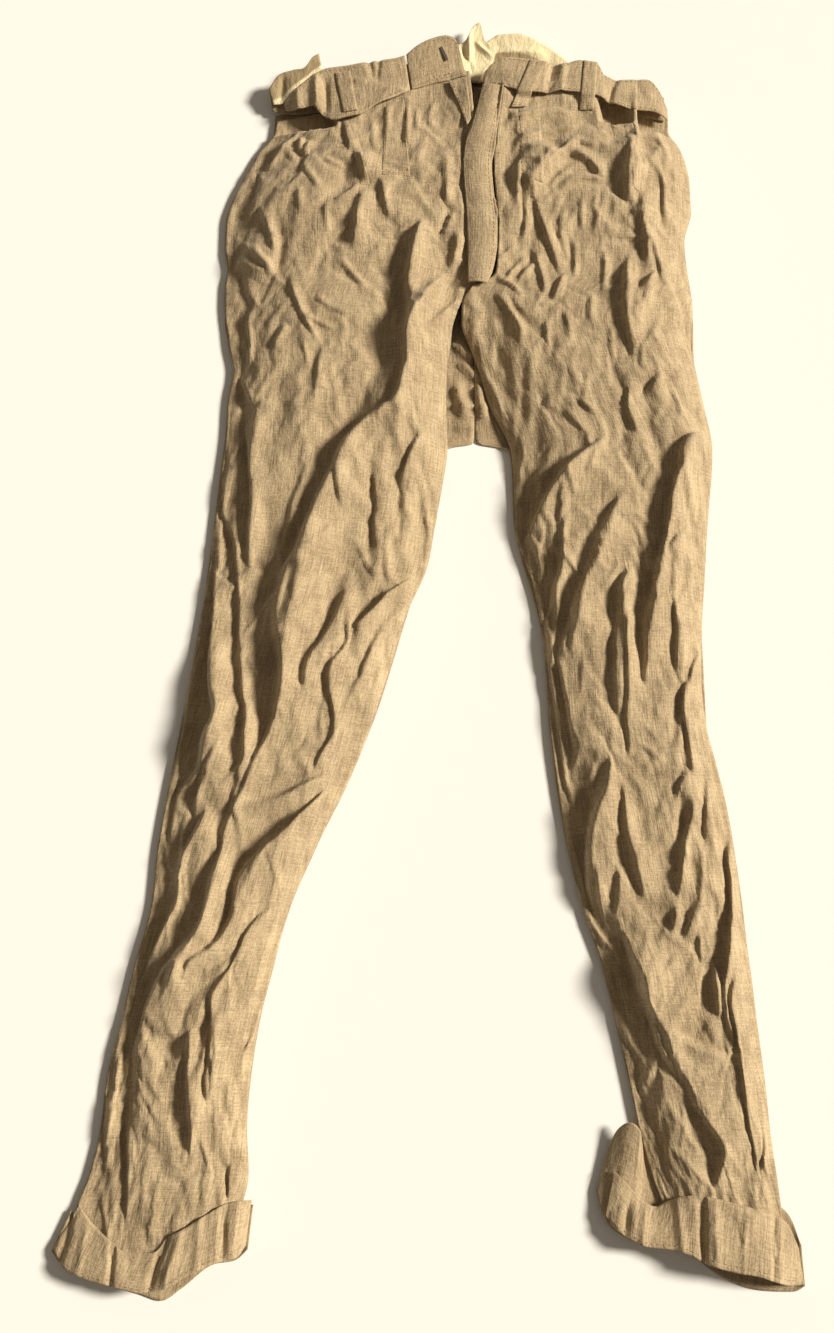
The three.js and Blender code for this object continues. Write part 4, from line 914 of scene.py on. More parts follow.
class Cloth:
    def __init__(self, name, x, y, z, wall):
        self.name, self.x, self.y, self.z, self.wall = name, x, y, z, wall
        self.surface = self.splat()

    def splat(self):
        """Highest point of the cloth in each cell, and very low where there is none."""
        field = np.full(GRID_X.shape, NO_CLOTH)
        steps_v, steps_u = (
            min(6, int(np.ceil(np.hypot(np.diff(self.x, axis=a), np.diff(self.y, axis=a)).max() / 0.7)))
            for a in (0, 1))
        for kv in np.arange(steps_v + 1) / steps_v:
            for ku in np.arange(steps_u + 1) / steps_u:
                x, y, z = (mix(mix(g[:-1, :-1], g[:-1, 1:], ku), mix(g[1:, :-1], g[1:, 1:], ku), kv)
                           for g in (self.x, self.y, self.z))
                i = np.rint((x - FIELD_WEST) / CELL).astype(int).clip(0, FIELD_WIDE - 1)
                j = np.rint((y - FIELD_SOUTH) / CELL).astype(int).clip(0, FIELD_LONG - 1)
                np.maximum.at(field, (j, i), z)
        return field


def widen(field, cells):
    """The highest height within so many cells of each cell."""
    for axis in (0, 1):
        out = field.copy()
        for n in range(1, cells + 1):
            for way in (n, -n):
                out = np.maximum(out, np.roll(field, way, axis=axis))
        field = out
    return field


def smoothed(field, sigma, none):
    """The field blurred, and very low again where there is no cloth."""
    return np.where(none, NO_CLOTH, blur(np.where(field < NO_CLOTH / 2, 0, field), sigma))


def highest_of(pieces, near):
    """The top of the pieces, smoothed and held out by so many cells."""
    wide = widen(np.maximum.reduce([piece.surface for piece in pieces]), near)
    none = wide < NO_CLOTH / 2
    return smoothed(np.where(none, widen(wide, 4), wide), 1.2, none)


def close_on(pieces):
    """The top of the pieces, followed closely."""
    field = np.maximum.reduce([piece.surface for piece in pieces])
    field = np.where(field < NO_CLOTH / 2, widen(field, 2), field)
    return smoothed(field, 0.7, field < NO_CLOTH / 2)


def grid(rows, keys, across, along, strips):
    u, v = np.meshgrid(np.linspace(0, 1, across + 1), np.linspace(0, 1, along + 1))
    place = u if strips else v
    r = stations(rows, keys, place.ravel())
    r = {key: value.reshape(place.shape) for key, value in r.items()}
    k = v if strips else u
    return u, v, r, mix(r[keys[0]], r[keys[2]], k), mix(r[keys[1]], r[keys[3]], k)


PANEL_KEYS = ["westX", "westY", "eastX", "eastY"]
STRIP_KEYS = ["upX", "upY", "downX", "downY"]


def shoulder(k):
    return 1 - (1 - np.clip(k, 0, 1)) ** 1.9


CRUMPLE = blur(
    2.0 * facets(22, 60, 0.2, 21) + 1.5 * facets(13, 30, -0.3, 31) + 0.7 * facets(7, 14, 0.3, 41), 0.7)
CRUMPLE_SHARE = (0.75 + 0.45 * noise(60, 51)) * mix(1, 0.5, smooth((GRID_Y - 150) / 80))


def front(name, rows, folds, creases, long_folds, lowered, seed):
    u, v, r, x, y = grid(rows, PANEL_KEYS, *FRONT_CELLS, False)
    west = (r["middleZ"] - r["westZ"]) * (1 - shoulder(u / WEST_SHOULDER))
    east = (r["middleZ"] - r["eastZ"]) * (1 - shoulder((1 - u) / EAST_SHOULDER))
    base = r["middleZ"] - west - east
    wide = np.hypot(r["eastX"] - r["westX"], r["eastY"] - r["westY"])
    fade_west = np.where(r["westZ"] > OPEN_EDGE_Z, 1, smooth(u * wide / SEAM_FADE))
    fade_east = np.where(r["eastZ"] > OPEN_EDGE_Z, 1, smooth((1 - u) * wide / SEAM_FADE))
    gain = mix(LEG_FOLD_GAIN, HIP_FOLD_GAIN, smooth((GRID_Y - HIP_Y) / 60))
    field = fold_field(folds) * gain + line_field(long_folds)
    field = field + fold_field(creases, gain=CREASE_GAIN, wander=0.4) + CRUMPLE * CRUMPLE_SHARE
    small = small_creases(x.min(), y.min(), x.max(), y.max(), seed)
    field = field + fold_field(small, wander=0.5)
    crest = base + sample(field, x, y) * fade_west * fade_east * mix(0.6, 1, shoulder(v / 0.06))
    meets = BAND_MEETS * smooth((y - WAIST_SEAM_Y) / 26) * smooth((x + 70) / 14) * smooth((150 - x) / 14)
    z = np.maximum(crest + meets, np.minimum(base, LEAST_FRONT_TOP))
    return Cloth(name, x, y, np.maximum(z - lowered(x, y), np.minimum(z, LOWEST_DIP)), CLOTH_WALL)


# The right front dips under the placket, and both fronts sink into dark hollows below the waistband.
def right_dips(x, y):
    placket_dip = PLACKET_STEP * smooth((x - 30) / 4) * smooth((432 - y) / 12) * smooth((y - 250) / 8)
    hollow = HOLLOW * smooth((-74 - x) / 5) * smooth((y - WAIST_SEAM_Y + 0.05 * (x + 100)) / 3)
    return placket_dip + hollow


def left_dips(x, y):
    end = smooth((x - 180) / 3) * smooth((y - 407) / 3)
    middle = smooth((x - 146) / 6) * smooth((177 - x) / 3) * smooth((y - 412) / 3)
    pocket = smooth((x - 180) / 3) * smooth((200 - x) / 8) * smooth((y - 378 - 0.4 * np.abs(x - 189)) / 8)
    return HOLLOW * np.maximum(end, middle) + POCKET_HOLLOW * pocket


def back(name, rows, seat, hem_start):
    u, _, r, x, y = grid(rows, PANEL_KEYS, *BACK_CELLS, False)
    wide = r["eastX"] - r["westX"]
    joined = y > SEAT_SEAM_END
    west = np.where((seat == "west") & joined, 0, 1 - smooth(u * wide / BACK_SEAM_FADE))
    east = np.where((seat == "east") & joined, 0, 1 - smooth((1 - u) * wide / BACK_SEAM_FADE))
    clear = smooth((u * wide - 12) / 10) * smooth(((1 - u) * wide - 12) / 10)
    hem = smooth((hem_start - y) / 12)
    raised = np.maximum(np.maximum(west, east), hem)
    under = BACK_EDGE_LIFT * raised + sample(BACK_FIELD, x, y) * clear * (1 - hem)
    under = under + np.maximum(0, sample(SEAT_FIELD, x, y)) * smooth((y - SEAT_SEAM_END - 3) / 4)
    return Cloth(name, x, y, under + CLOTH_WALL, CLOTH_WALL)


def strip(name, rows, across, along, folds, over=None, wall=CLOTH_WALL, crumple=0.0, roll=0.5):
    u, v, r, x, y = grid(rows, STRIP_KEYS, across, along, True)
    z = mix(r["upZ"], r["downZ"], v)
    if folds:
        z = z + sample(fold_field(folds, wander=0.35), x, y)
    if crumple:
        z = z + crumple * sample(CRUMPLE, x, y)
    if over is not None:
        z = np.maximum(z, sample(over, x, y) + wall + SEAM_GAP)
    edge = np.minimum(np.minimum(u, 1 - u) * across, np.minimum(v, 1 - v) * along)
    z = z - roll * (1 - smooth(edge / 2.0))
    return Cloth(name, x, y, z, wall)


SEAT_FIELD = fold_field(SEAT_FOLDS, wander=0.4)
BACK_CRUMPLE = blur(1.2 * facets(26, 50, 0.2, 61) + 0.7 * facets(12, 24, -0.3, 71), 1.2)
BACK_FIELD = np.maximum(fold_field(BACK_FOLDS), 0) + np.maximum(0, BACK_CRUMPLE)


def linked(name, data):
    item = bpy.data.objects.new(name, data)
    bpy.context.scene.collection.objects.link(item)
    return item


def level_sheet(name, half_x, half_y, z):
    """A flat rectangle about the origin at one height."""
    mesh = bpy.data.meshes.new(name)
    corner_points = [(-half_x, -half_y, z), (half_x, -half_y, z), (half_x, half_y, z), (-half_x, half_y, z)]
    mesh.from_pydata(corner_points, [], [(0, 1, 2, 3)])
    return linked(name, mesh)


# The fronts settle in a short cloth simulation, ten times life size for its solver: the cloth is cut wider
# and longer than its laid form by two shares, its edges stay fixed and the rest is held softly.
ENLARGE = 10 / 1000
BELOW_FRONTS = 3.4


def settle(cloth, across=0.06, along=0.03, hold=0.07, bending=0.1, tension=15, weight=0.05, frames=16):
    rows, columns = cloth.x.shape
    laid = np.stack([cloth.x, cloth.y, cloth.z], axis=-1) * ENLARGE
    middle = laid.mean(axis=1, keepdims=True) * [1, 0, 0] + laid.mean(axis=(0, 1)) * [0, 1, 0]
    down = np.linspace(0, 1, rows).reshape(-1, 1, 1)
    spare = mix(0.35, 0.8, smooth((down - 0.3) / 0.2)) * mix(1, 0.3, smooth((down - 0.55) / 0.12))
    cut = middle + (laid - middle) * (1 + spare * [across, along, 0])
    mesh = bpy.data.meshes.new("settling")
    mesh.from_pydata(cut.reshape(-1, 3).tolist(), [], grid_faces(rows, columns).tolist())
    body = linked("settling", mesh)
    held = body.vertex_groups.new(name="held")
    number = np.arange(rows * columns).reshape(rows, columns)
    held.add(number[1:-1, 1:-1].ravel().tolist(), hold, "REPLACE")
    rim = np.concatenate([number[0], number[-1], number[1:-1, 0], number[1:-1, -1]])
    held.add(rim.tolist(), 1.0, "REPLACE")
    below = level_sheet("below", 5, 8, BELOW_FRONTS * ENLARGE)
    below.modifiers.new("collision", "COLLISION")
    below.collision.thickness_outer = 0.004
    body.shape_key_add(name="cut")
    gather = body.shape_key_add(name="laid")
    gather.data.foreach_set("co", laid.ravel().astype(np.float32))
    for frame_number, share in ((1, 0), (7, 1)):
        gather.value = share
        gather.keyframe_insert("value", frame=frame_number)
    cloth_modifier = body.modifiers.new("cloth", "CLOTH")
    s = cloth_modifier.settings
    s.quality = 6
    s.mass = 0.3
    s.air_damping = 2
    s.tension_stiffness = s.compression_stiffness = tension
    s.shear_stiffness = 0.4 * tension
    s.bending_stiffness = bending
    s.tension_damping = s.compression_damping = s.shear_damping = 10
    s.bending_damping = 0.5
    s.vertex_group_mass = "held"
    s.pin_stiffness = 1
    s.effector_weights.gravity = weight
    cloth_modifier.collision_settings.distance_min = 0.004
    cloth_modifier.point_cache.frame_end = frames
    for frame_number in range(1, frames + 1):
        bpy.context.scene.frame_set(frame_number)
    settled = np.empty(rows * columns * 3, dtype=np.float32)
    body.evaluated_get(bpy.context.evaluated_depsgraph_get()).data.vertices.foreach_get("co", settled)
    settled = settled.reshape(rows, columns, 3) / ENLARGE
    bpy.data.objects.remove(body)
    bpy.data.objects.remove(below)
    bpy.context.scene.frame_set(1)
    return Cloth(cloth.name, settled[..., 0], settled[..., 1], settled[..., 2], cloth.wall)


cloths = {}


def keep(cloth):
    cloths[cloth.name] = cloth
    return cloth


front_right = front("front_right", FRONT_RIGHT_ROWS, FRONT_RIGHT_FOLDS, FRONT_RIGHT_CREASES,
                    FRONT_RIGHT_LINES, right_dips, seed=81)
front_left = front("front_left", FRONT_LEFT_ROWS, FRONT_LEFT_FOLDS, FRONT_LEFT_CREASES,
                   FRONT_LEFT_LINES, left_dips, seed=82)
front_right, front_left = settle(front_right), settle(front_left)
keep(front_right)
keep(front_left)
on_fronts = highest_of([front_right, front_left], 1)
keep(back("back_right", BACK_RIGHT_ROWS, seat="east", hem_start=-440))
keep(back("back_left", BACK_LEFT_ROWS, seat="west", hem_start=-398))
band_right = keep(strip(
    "waistband_right", WAISTBAND_RIGHT_ROWS, 130, 44, WAISTBAND_RIGHT_FOLDS, on_fronts, crumple=0.35))
keep(strip("waistband_tab_right", WAISTBAND_TAB_RIGHT_ROWS, 60, 44, WAISTBAND_TAB_RIGHT_FOLDS, on_fronts))
band_left = keep(strip(
    "waistband_left", WAISTBAND_LEFT_ROWS, 160, 40, WAISTBAND_LEFT_FOLDS, on_fronts, crumple=0.35))
band_back = keep(strip("waistband_back", WAISTBAND_BACK_ROWS, 180, 30, []))
on_band_back = highest_of([band_back], 1)
keep(strip("facing_right", FACING_RIGHT_ROWS, 50, 30, FACING_RIGHT_FOLDS, on_band_back, crumple=0.4))
facing_back = keep(strip(
    "facing_back", FACING_BACK_ROWS, 90, 36, FACING_BACK_FOLDS, on_band_back, crumple=0.4))
on_back_inside = highest_of([band_back, facing_back], 1)
keep(strip("lining_back", LINING_BACK_ROWS, 50, 60, LINING_BACK_FOLDS, on_back_inside, crumple=0.9))
keep(strip("fly_shield_right", FLY_SHIELD_RIGHT_ROWS, 24, 50, [], on_fronts))


def placket():
    u, _, _, x, y = grid(PLACKET_ROWS, PANEL_KEYS, *PLACKET_CELLS, False)
    z = PLACKET_TOP + PLACKET_CROWN * np.sin(math.pi * u)
    z = np.maximum(z + sample(fold_field(PLACKET_PUCKERS, wander=0.3), x, y),
                   sample(on_fronts, x, y) + CLOTH_WALL + SEAM_GAP)
    padded = np.pad(z, [(4, 4), (0, 0)], mode="edge")
    even = sum(padded[n:n + z.shape[0]] for n in range(9)) / 9
    return Cloth("fly_placket_left", x, y, np.maximum(even, z - 0.6) + 0.3, CLOTH_WALL)


def turn_up(name, rows, across, folds, leg, over):
    """A front turn-up with its upper edge let down to just above the end of the leg, its pleats kept."""
    cuff = strip(name, rows, across, CUFF_ROWS, folds, over, crumple=0.5)
    end_x, end_y, end_z = (values[-40:].ravel() for values in (leg.x, leg.y, leg.z))
    under = [end_z[np.argmin(np.hypot(end_x - x, end_y - y))] for x, y in zip(cuff.x[0], cuff.y[0])]
    spare = np.pad(cuff.z[0] - under - CLOTH_WALL - TURN_UP_STANDS_OFF, 12, mode="edge")
    spare = np.maximum(0, np.convolve(spare, np.full(25, 1 / 25), "valid"))
    z = cuff.z - spare * np.linspace(1, 0, len(cuff.z)).reshape(-1, 1) ** 1.3
    z = np.maximum(z, sample(over, cuff.x, cuff.y) + CLOTH_WALL + SEAM_GAP)
    return Cloth(cuff.name, cuff.x, cuff.y, z, CLOTH_WALL)


flush = close_on([front_right, front_left]) - TRIM_WALL + TRIM_PROUD
for name, rows, across, along, roll in (
        ("pleat_right", PLEAT_RIGHT_ROWS, 18, 60, 0.6), ("pleat_left", PLEAT_LEFT_ROWS, 18, 70, 0.9),
        ("pocket_edge_right", POCKET_EDGE_RIGHT_ROWS, 8, 56, 0.8),
        ("pocket_edge_left", POCKET_EDGE_LEFT_ROWS, 8, 72, 0.8)):
    keep(strip(name, rows, across, along, [], flush, TRIM_WALL, roll=roll))
keep(placket())
on_band_right = highest_of([front_right, band_right], 2)
on_band_left = highest_of([front_left, band_left, cloths["pleat_left"]], 2)
for name, rows, along, over in (
        ("belt_loop_right", BELT_LOOP_RIGHT_ROWS, 50, on_band_right),
        ("belt_loop_left_front", BELT_LOOP_LEFT_FRONT_ROWS, 54, on_band_left),
        ("belt_loop_left_side", BELT_LOOP_LEFT_SIDE_ROWS, 54, on_band_left)):
    keep(strip(name, rows, 16, along, [], over, TRIM_WALL))
keep(strip("cuff_right_back", CUFF_RIGHT_BACK_ROWS, 130, 30, []))
keep(turn_up("cuff_right_front", CUFF_RIGHT_FRONT_ROWS, 170, CUFF_RIGHT_FRONT_FOLDS, front_right, on_fronts))
lobe = keep(strip("cuff_left_back", CUFF_LEFT_BACK_ROWS, 150, 40, []))
on_lobe = highest_of([front_left, lobe], 1)
keep(turn_up("cuff_left_front", CUFF_LEFT_FRONT_ROWS, 180, CUFF_LEFT_FRONT_FOLDS, front_left, on_lobe))


# Materials.
def cloth_material(name, light, dark, thread_mm=0.9, lustre=0.28, shade_bands=None):
    material = bpy.data.materials.new(name)
    material.use_nodes = True
    nodes, links = material.node_tree.nodes, material.node_tree.links
    shader = nodes["Principled BSDF"]
    shader.inputs["Roughness"].default_value = 0.86
    shader.inputs["Specular IOR Level"].default_value = lustre
    shader.inputs["Sheen Weight"].default_value = 0.18
    shader.inputs["Sheen Roughness"].default_value = 0.5
    place = nodes.new("ShaderNodeUVMap")
    place.uv_map = "grain"

    def add(kind, **values):
        node = nodes.new("ShaderNode" + kind)
        for socket, value in values.items():
            node.inputs[socket].default_value = value
        return node

    def threads(across_mm, along_mm, detail):
        """Noise whose marks are so wide and so long on the cloth."""
        scale = add("Mapping", Scale=(1000 / across_mm, 1000 / along_mm, 1))
        texture = add("TexNoise", Scale=1, Detail=detail, Roughness=0.6)
        links.new(place.outputs["UV"], scale.inputs["Vector"])
        links.new(scale.outputs["Vector"], texture.inputs["Vector"])
        return texture.outputs["Fac"]

    def blend(a, b, share):
        node = add("Mix", Factor=share)
        node.data_type = "FLOAT"
        links.new(a, node.inputs["A"])
        links.new(b, node.inputs["B"])
        return node.outputs["Result"]

    def creased(across_mm, along_mm, detail):
        """Sharp creases, where the noise passes its middle."""
        level, sharp = add("Math"), add("Math")
        level.operation, sharp.operation = "SUBTRACT", "ABSOLUTE"
        level.inputs[1].default_value = 0.5
        links.new(threads(across_mm, along_mm, detail), level.inputs[0])
        links.new(level.outputs["Value"], sharp.inputs[0])
        return sharp.outputs["Value"]

    weave = blend(threads(thread_mm, thread_mm * 26, 1), threads(thread_mm * 20, thread_mm * 0.9, 1), 0.42)
    specks = threads(1.6, 1.6, 2)
    tone = blend(blend(weave, specks, 0.4), threads(26, 26, 3), 0.24)
    ramp = nodes.new("ShaderNodeValToRGB")
    for stop, at, colour in zip(ramp.color_ramp.elements, (0.42, 0.58), (dark, light)):
        stop.position = at
        stop.color = (*colour, 1)
    links.new(tone, ramp.inputs["Fac"])
    colour_out = ramp.outputs["Color"]
    # Painted shade: the colour is multiplied by a darker tone on one side of a line across the piece's
    # height, standing in for the shade inside the waistband.
    if shade_bands:
        upper, lower, turn_m = shade_bands
        down = nodes.new("ShaderNodeSeparateXYZ")
        links.new(place.outputs["UV"], down.inputs["Vector"])
        step = nodes.new("ShaderNodeMapRange")
        step.interpolation_type = "SMOOTHSTEP"
        step.inputs["From Min"].default_value = turn_m - 0.0012
        step.inputs["From Max"].default_value = turn_m + 0.0012
        links.new(down.outputs["Y"], step.inputs["Value"])
        shade_mix, shaded = nodes.new("ShaderNodeMix"), nodes.new("ShaderNodeMix")
        shade_mix.data_type = shaded.data_type = "RGBA"
        shade_mix.inputs["A"].default_value = (*upper, 1)
        shade_mix.inputs["B"].default_value = (*lower, 1)
        shaded.blend_type = "MULTIPLY"
        shaded.inputs["Factor"].default_value = 1
        links.new(step.outputs["Result"], shade_mix.inputs["Factor"])
        links.new(colour_out, shaded.inputs["A"])
        links.new(shade_mix.outputs["Result"], shaded.inputs["B"])
        colour_out = shaded.outputs["Result"]
    links.new(colour_out, shader.inputs["Base Color"])

    crumple = add("Bump", Strength=0.5, Distance=0.004)
    crumple.invert = True
    links.new(blend(creased(16, 30, 2), creased(7, 11, 2), 0.4), crumple.inputs["Height"])
    bump = add("Bump", Strength=0.8, Distance=0.0019)
    links.new(blend(blend(weave, specks, 0.35), threads(6, 16, 4), 0.6), bump.inputs["Height"])
    links.new(crumple.outputs["Normal"], bump.inputs["Normal"])
    links.new(bump.outputs["Normal"], shader.inputs["Normal"])
    return material


def plain_material(name, colour, rough, metal=0.0):
    material = bpy.data.materials.new(name)
    material.use_nodes = True
    shader = material.node_tree.nodes["Principled BSDF"]
    shader.inputs["Base Color"].default_value = (*colour, 1)
    shader.inputs["Roughness"].default_value = rough
    shader.inputs["Metallic"].default_value = metal
    return material


LINEN = cloth_material("linen", (0.50, 0.385, 0.235), (0.28, 0.205, 0.12))
# Painted shade: the backs, the back waistband and the cuff backs get a darker copy of the same linen, for
# the shade of the layer under the fronts.
LINEN_UNDER_SHADED = cloth_material("linen_back", (0.46, 0.35, 0.21), (0.25, 0.18, 0.105))
CREAM_TONES = (0.88, 0.77, 0.50), (0.72, 0.60, 0.36)
CREAM = cloth_material("facing_cream", *CREAM_TONES, thread_mm=0.7)
# Painted shade: the side facing is darkened towards its upper edge with its lower edge left pale, and the
# back facing is darkened towards its lower edge, for the shade inside the waistband.
CREAM_SIDE_SHADED = cloth_material(
    "facing_side_painted_shade", *CREAM_TONES, thread_mm=0.7, shade_bands=((0.46, 0.40, 0.36), (1, 1, 1), 0.0135))
CREAM_INSIDE_SHADED = cloth_material(
    "facing_inside_painted_shade", *CREAM_TONES, thread_mm=0.7, shade_bands=((1, 1, 1), (0.56, 0.48, 0.42), 0.016))
THREAD = plain_material("thread", (0.36, 0.25, 0.13), 0.7)
STEEL = plain_material("hook_steel", (0.42, 0.39, 0.35), 0.35, 1.0)


# Meshes.
def to_frame(x, y, z):
    return np.stack([(x - LAYOUT_CENTRE_X) / 1000, (y - LAYOUT_CENTRE_Y) / 1000, z / 1000], axis=-1)


def walked(cloth, axis):
    """How far each point of the grid is from its first row or column, along the cloth."""
    steps = np.hypot(np.diff(cloth.x, axis=axis), np.diff(cloth.y, axis=axis))
    return np.insert(np.cumsum(steps, axis=axis), 0, 0, axis=axis)


def build(cloth, node, slot, material):
    rows, columns = cloth.x.shape
    points = to_frame(cloth.x, cloth.y, cloth.z).reshape(-1, 3)
    mesh = bpy.data.meshes.new(cloth.name + "_cloth")
    mesh.from_pydata(points.tolist(), [], grid_faces(rows, columns).tolist())
    across = walked(cloth, 1)
    across = across - across[:, -1:] / 2
    down = walked(cloth, 0).mean(axis=1, keepdims=True) + 0 * across
    grain = np.stack([across / 1000, down / 1000], axis=-1).reshape(-1, 2)
    layer = mesh.uv_layers.new(name="grain")
    corner = np.empty(len(mesh.loops), dtype=np.int32)
    mesh.loops.foreach_get("vertex_index", corner)
    layer.data.foreach_set("uv", grain[corner].ravel().astype(np.float32))
    mesh.shade_smooth()
    mesh.materials.append(material)
    piece = linked(cloth.name + "_cloth", mesh)
    solid = piece.modifiers.new("wall", "SOLIDIFY")
    solid.thickness = cloth.wall / 1000
    solid.offset = -1
    solid.use_even_offset = False
    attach(piece, "root")
    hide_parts(node)
    return piece


# Each piece: its slot and cloth, the flat width and length it is cut to in metres, its share of that
# rectangle, and what it rests on.
SHEETS = {
    "front_right": ("linen", LINEN, 0.24, 1, 0.725, ["back_right_cloth"]),
    "front_left": ("linen", LINEN, 0.215, 1.01, 0.715, ["back_left_cloth"]),
    "back_right": ("linen_back", LINEN_UNDER_SHADED, 0.21, 1, 0.7, ["floor"]),
    "back_left": ("linen_back", LINEN_UNDER_SHADED, 0.19, 0.985, 0.71, ["floor"]),
    "waistband_right": ("linen", LINEN, 0.122, 0.054, 0.69, ["front_right_cloth"]),
    "waistband_tab_right": ("linen", LINEN, 0.055, 0.043, 0.81, ["front_right_cloth"]),
    "waistband_left": ("linen", LINEN, 0.19, 0.034, 0.765, ["front_left_cloth"]),
    "waistband_back": ("linen_back", LINEN_UNDER_SHADED, 0.365, 0.044, 0.725, ["floor"]),
    "facing_right": ("facing_cream", CREAM_SIDE_SHADED, 0.056, 0.025, 0.62, ["waistband_back_cloth"]),
    "facing_back": ("facing_cream", CREAM_INSIDE_SHADED, 0.092, 0.036, 0.755, ["waistband_back_cloth"]),
    "lining_back": ("facing_cream", CREAM, 0.06, 0.059, 0.36, ["facing_back_cloth"]),
    "fly_shield_right": ("linen", LINEN, 0.015, 0.047, 0.67, ["front_right_cloth"]),
    "fly_placket_left": ("linen", LINEN, 0.026, 0.19, 0.895, ["front_left_cloth"]),
    "pleat_right": ("linen", LINEN, 0.023, 0.08, 0.865, ["front_right_cloth"]),
    "pleat_left": ("linen", LINEN, 0.0235, 0.097, 0.84, ["front_left_cloth"]),
    "pocket_edge_right": ("linen", LINEN, 0.0115, 0.069, 0.8, ["front_right_cloth"]),
    "pocket_edge_left": ("linen", LINEN, 0.0155, 0.0985, 0.63, ["front_left_cloth"]),
    "belt_loop_right": ("linen", LINEN, 0.013, 0.042, 0.97, ["waistband_right_cloth"]),
    "belt_loop_left_front": ("linen", LINEN, 0.014, 0.05, 0.9, ["waistband_left_cloth"]),
    "belt_loop_left_side": ("linen", LINEN, 0.0125, 0.048, 0.98, ["waistband_left_cloth"]),
    "cuff_right_back": ("linen_back", LINEN_UNDER_SHADED, 0.155, 0.05, 0.7, ["floor"]),
    "cuff_right_front": ("linen", LINEN, 0.165, 0.038, 0.805, ["front_right_cloth"]),
    "cuff_left_back": ("linen_back", LINEN_UNDER_SHADED, 0.18, 0.075, 0.665, ["floor"]),
    "cuff_left_front": ("linen", LINEN, 0.165, 0.046, 0.77, ["front_left_cloth"]),
}
made = {name: build(cloths[name], name, *SHEETS[name][:2]) for name in SHEETS}


# Sewing thread: single stitches laid on the cloth, one mesh for each line of sewing.
STITCH_LONG, STITCH_STEP, STITCH_HALF = 2.8, 4.2, 0.32


def line_on(cloth, down=None, across=None, start=0.03, end=0.97):
    """Points on a piece at one share of its height, or at one share of its width."""
    rows, columns = cloth.x.shape
    if across is None:
        j = int(round(down * (rows - 1)))
        picked = (j, slice(int(start * (columns - 1)), int(end * (columns - 1)) + 1))
    else:
        i = int(round(across * (columns - 1)))
        picked = (slice(int(start * (rows - 1)), int(end * (rows - 1)) + 1), i)
    return np.stack([cloth.x[picked], cloth.y[picked], cloth.z[picked]], axis=-1)


def stitches(name, paths):
    points, faces = [], []
    for path in paths:
        length = np.concatenate([[0], np.cumsum(np.linalg.norm(np.diff(path, axis=0), axis=1))])
        for begin in np.arange(0.6, length[-1] - STITCH_LONG, STITCH_STEP):
            a, b = (np.array([np.interp(at, length, path[:, c]) for c in range(3)])
                    for at in (begin, begin + STITCH_LONG))
            way = (b - a) / np.linalg.norm(b - a)
            beside = np.cross(way, [0, 0, 1.0]) * STITCH_HALF
            above = np.array([0, 0, STITCH_HALF])
            ring = [m + t for m in (mix(a, b, 0.25), mix(a, b, 0.75))
                    for t in (beside, 0.9 * above, -beside, -0.4 * above)]
            n = len(points)
            points += [a - 0.2 * above] + ring + [b - 0.2 * above]
            for k in range(4):
                m = (k + 1) % 4
                faces += [(n, n + 1 + m, n + 1 + k), (n + 1 + k, n + 1 + m, n + 5 + m, n + 5 + k),
                          (n + 9, n + 5 + k, n + 5 + m)]
    points = np.array(points)
    mesh = bpy.data.meshes.new(name)
    mesh.from_pydata(to_frame(points[:, 0], points[:, 1], points[:, 2] + 0.1).tolist(), [], faces)
    mesh.shade_smooth()
    mesh.materials.append(THREAD)
    piece = linked(name, mesh)
    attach(piece, "root")


stitches("placket_stitches", [line_on(cloths["fly_placket_left"], across=0.88, start=0.02, end=0.93),
                              line_on(cloths["fly_placket_left"], down=0.97, start=0.1, end=0.88)])
for band in ("waistband_right", "waistband_left", "waistband_tab_right"):
    stitches(band + "_stitches", [line_on(cloths[band], down=0.93), line_on(cloths[band], down=0.07)])
for loop in ("belt_loop_right", "belt_loop_left_front", "belt_loop_left_side"):
    stitches(loop + "_stitches", [
        line_on(cloths[loop], down=share, start=0.1, end=0.9) for share in (0.05, 0.09, 0.92, 0.96)])
stitches("pleat_right_stitches", [
    line_on(cloths["pleat_right"], across=0.94), line_on(cloths["pleat_right"], down=0.96)])
stitches("pleat_left_stitches", [line_on(cloths["pleat_left"], across=0.06)])
for turned in ("cuff_right_front", "cuff_left_front"):
    stitches(turned + "_stitches", [line_on(cloths[turned], down=0.92)])
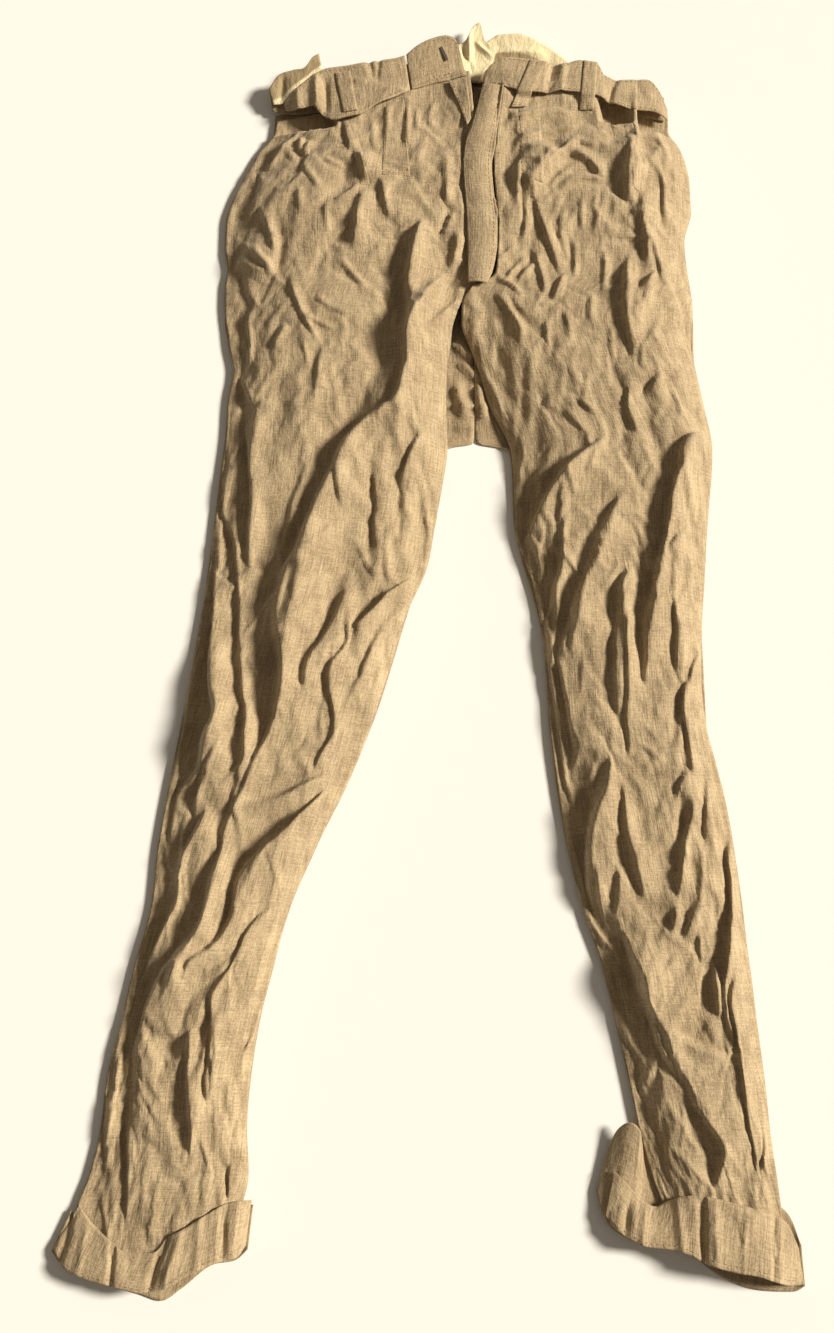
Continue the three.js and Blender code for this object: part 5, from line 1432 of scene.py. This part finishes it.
stitches("fly_shield_right_stitches", [line_on(cloths["fly_shield_right"], across=0.2)])


# The hook bar is the CAD piece in satin steel, its edges eased.
def hook_bar():
    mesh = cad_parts["hook_bar"].data.copy()
    mesh.materials.clear()
    mesh.materials.append(STEEL)
    bar = linked("hook_bar_steel", mesh)
    eased = bar.modifiers.new("eased", "BEVEL")
    eased.width = 0.0003
    eased.segments = 3
    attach(bar, "root")
    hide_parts("hook_bar")


hook_bar()

# Floor, light and camera.
FLOOR_HALF, FLOOR_Z = 4, -0.0004
floor = level_sheet("floor", FLOOR_HALF, FLOOR_HALF, FLOOR_Z)
floor.data.materials.append(plain_material("floor", (0.86, 0.855, 0.84), 0.8))


def sun(name, towards, power, colour, softness):
    light = bpy.data.lights.new(name, "SUN")
    light.energy = power
    light.color = colour
    light.angle = math.radians(softness)
    linked(name, light).rotation_euler = Vector(towards).to_track_quat("Z", "Y").to_euler()


sun("key_light", towards=(1.0, 0.16, 0.66), power=6.0, colour=(1.0, 0.93, 0.80), softness=12)
world = bpy.data.worlds.new("studio")
world.use_nodes = True
world.node_tree.nodes["Background"].inputs["Color"].default_value = (1.0, 0.87, 0.7, 1)
world.node_tree.nodes["Background"].inputs["Strength"].default_value = 0.2
bpy.context.scene.world = world
bpy.context.scene.view_settings.view_transform = "Standard"

# The camera looks from the feet, 75 degrees above the surface.
PHOTO_HIGH = 1333
SENSOR = 36.0
FOCAL_PIXELS = 1500
ELEVATION = math.radians(75)
DISTANCE = 1.170
AIMED_X, AIMED_Y = -6.7, -59
TARGET = Vector(to_frame(AIMED_X, AIMED_Y, 0.0))
camera_data = bpy.data.cameras.new("camera")
camera_data.sensor_width = SENSOR
camera_data.lens = SENSOR * FOCAL_PIXELS / PHOTO_HIGH
camera = linked("camera", camera_data)
outward = Vector((0, -math.cos(ELEVATION), math.sin(ELEVATION)))
camera.location = TARGET + outward * DISTANCE
camera.rotation_euler = outward.to_track_quat("Z", "Y").to_euler()
bpy.context.scene.camera = camera
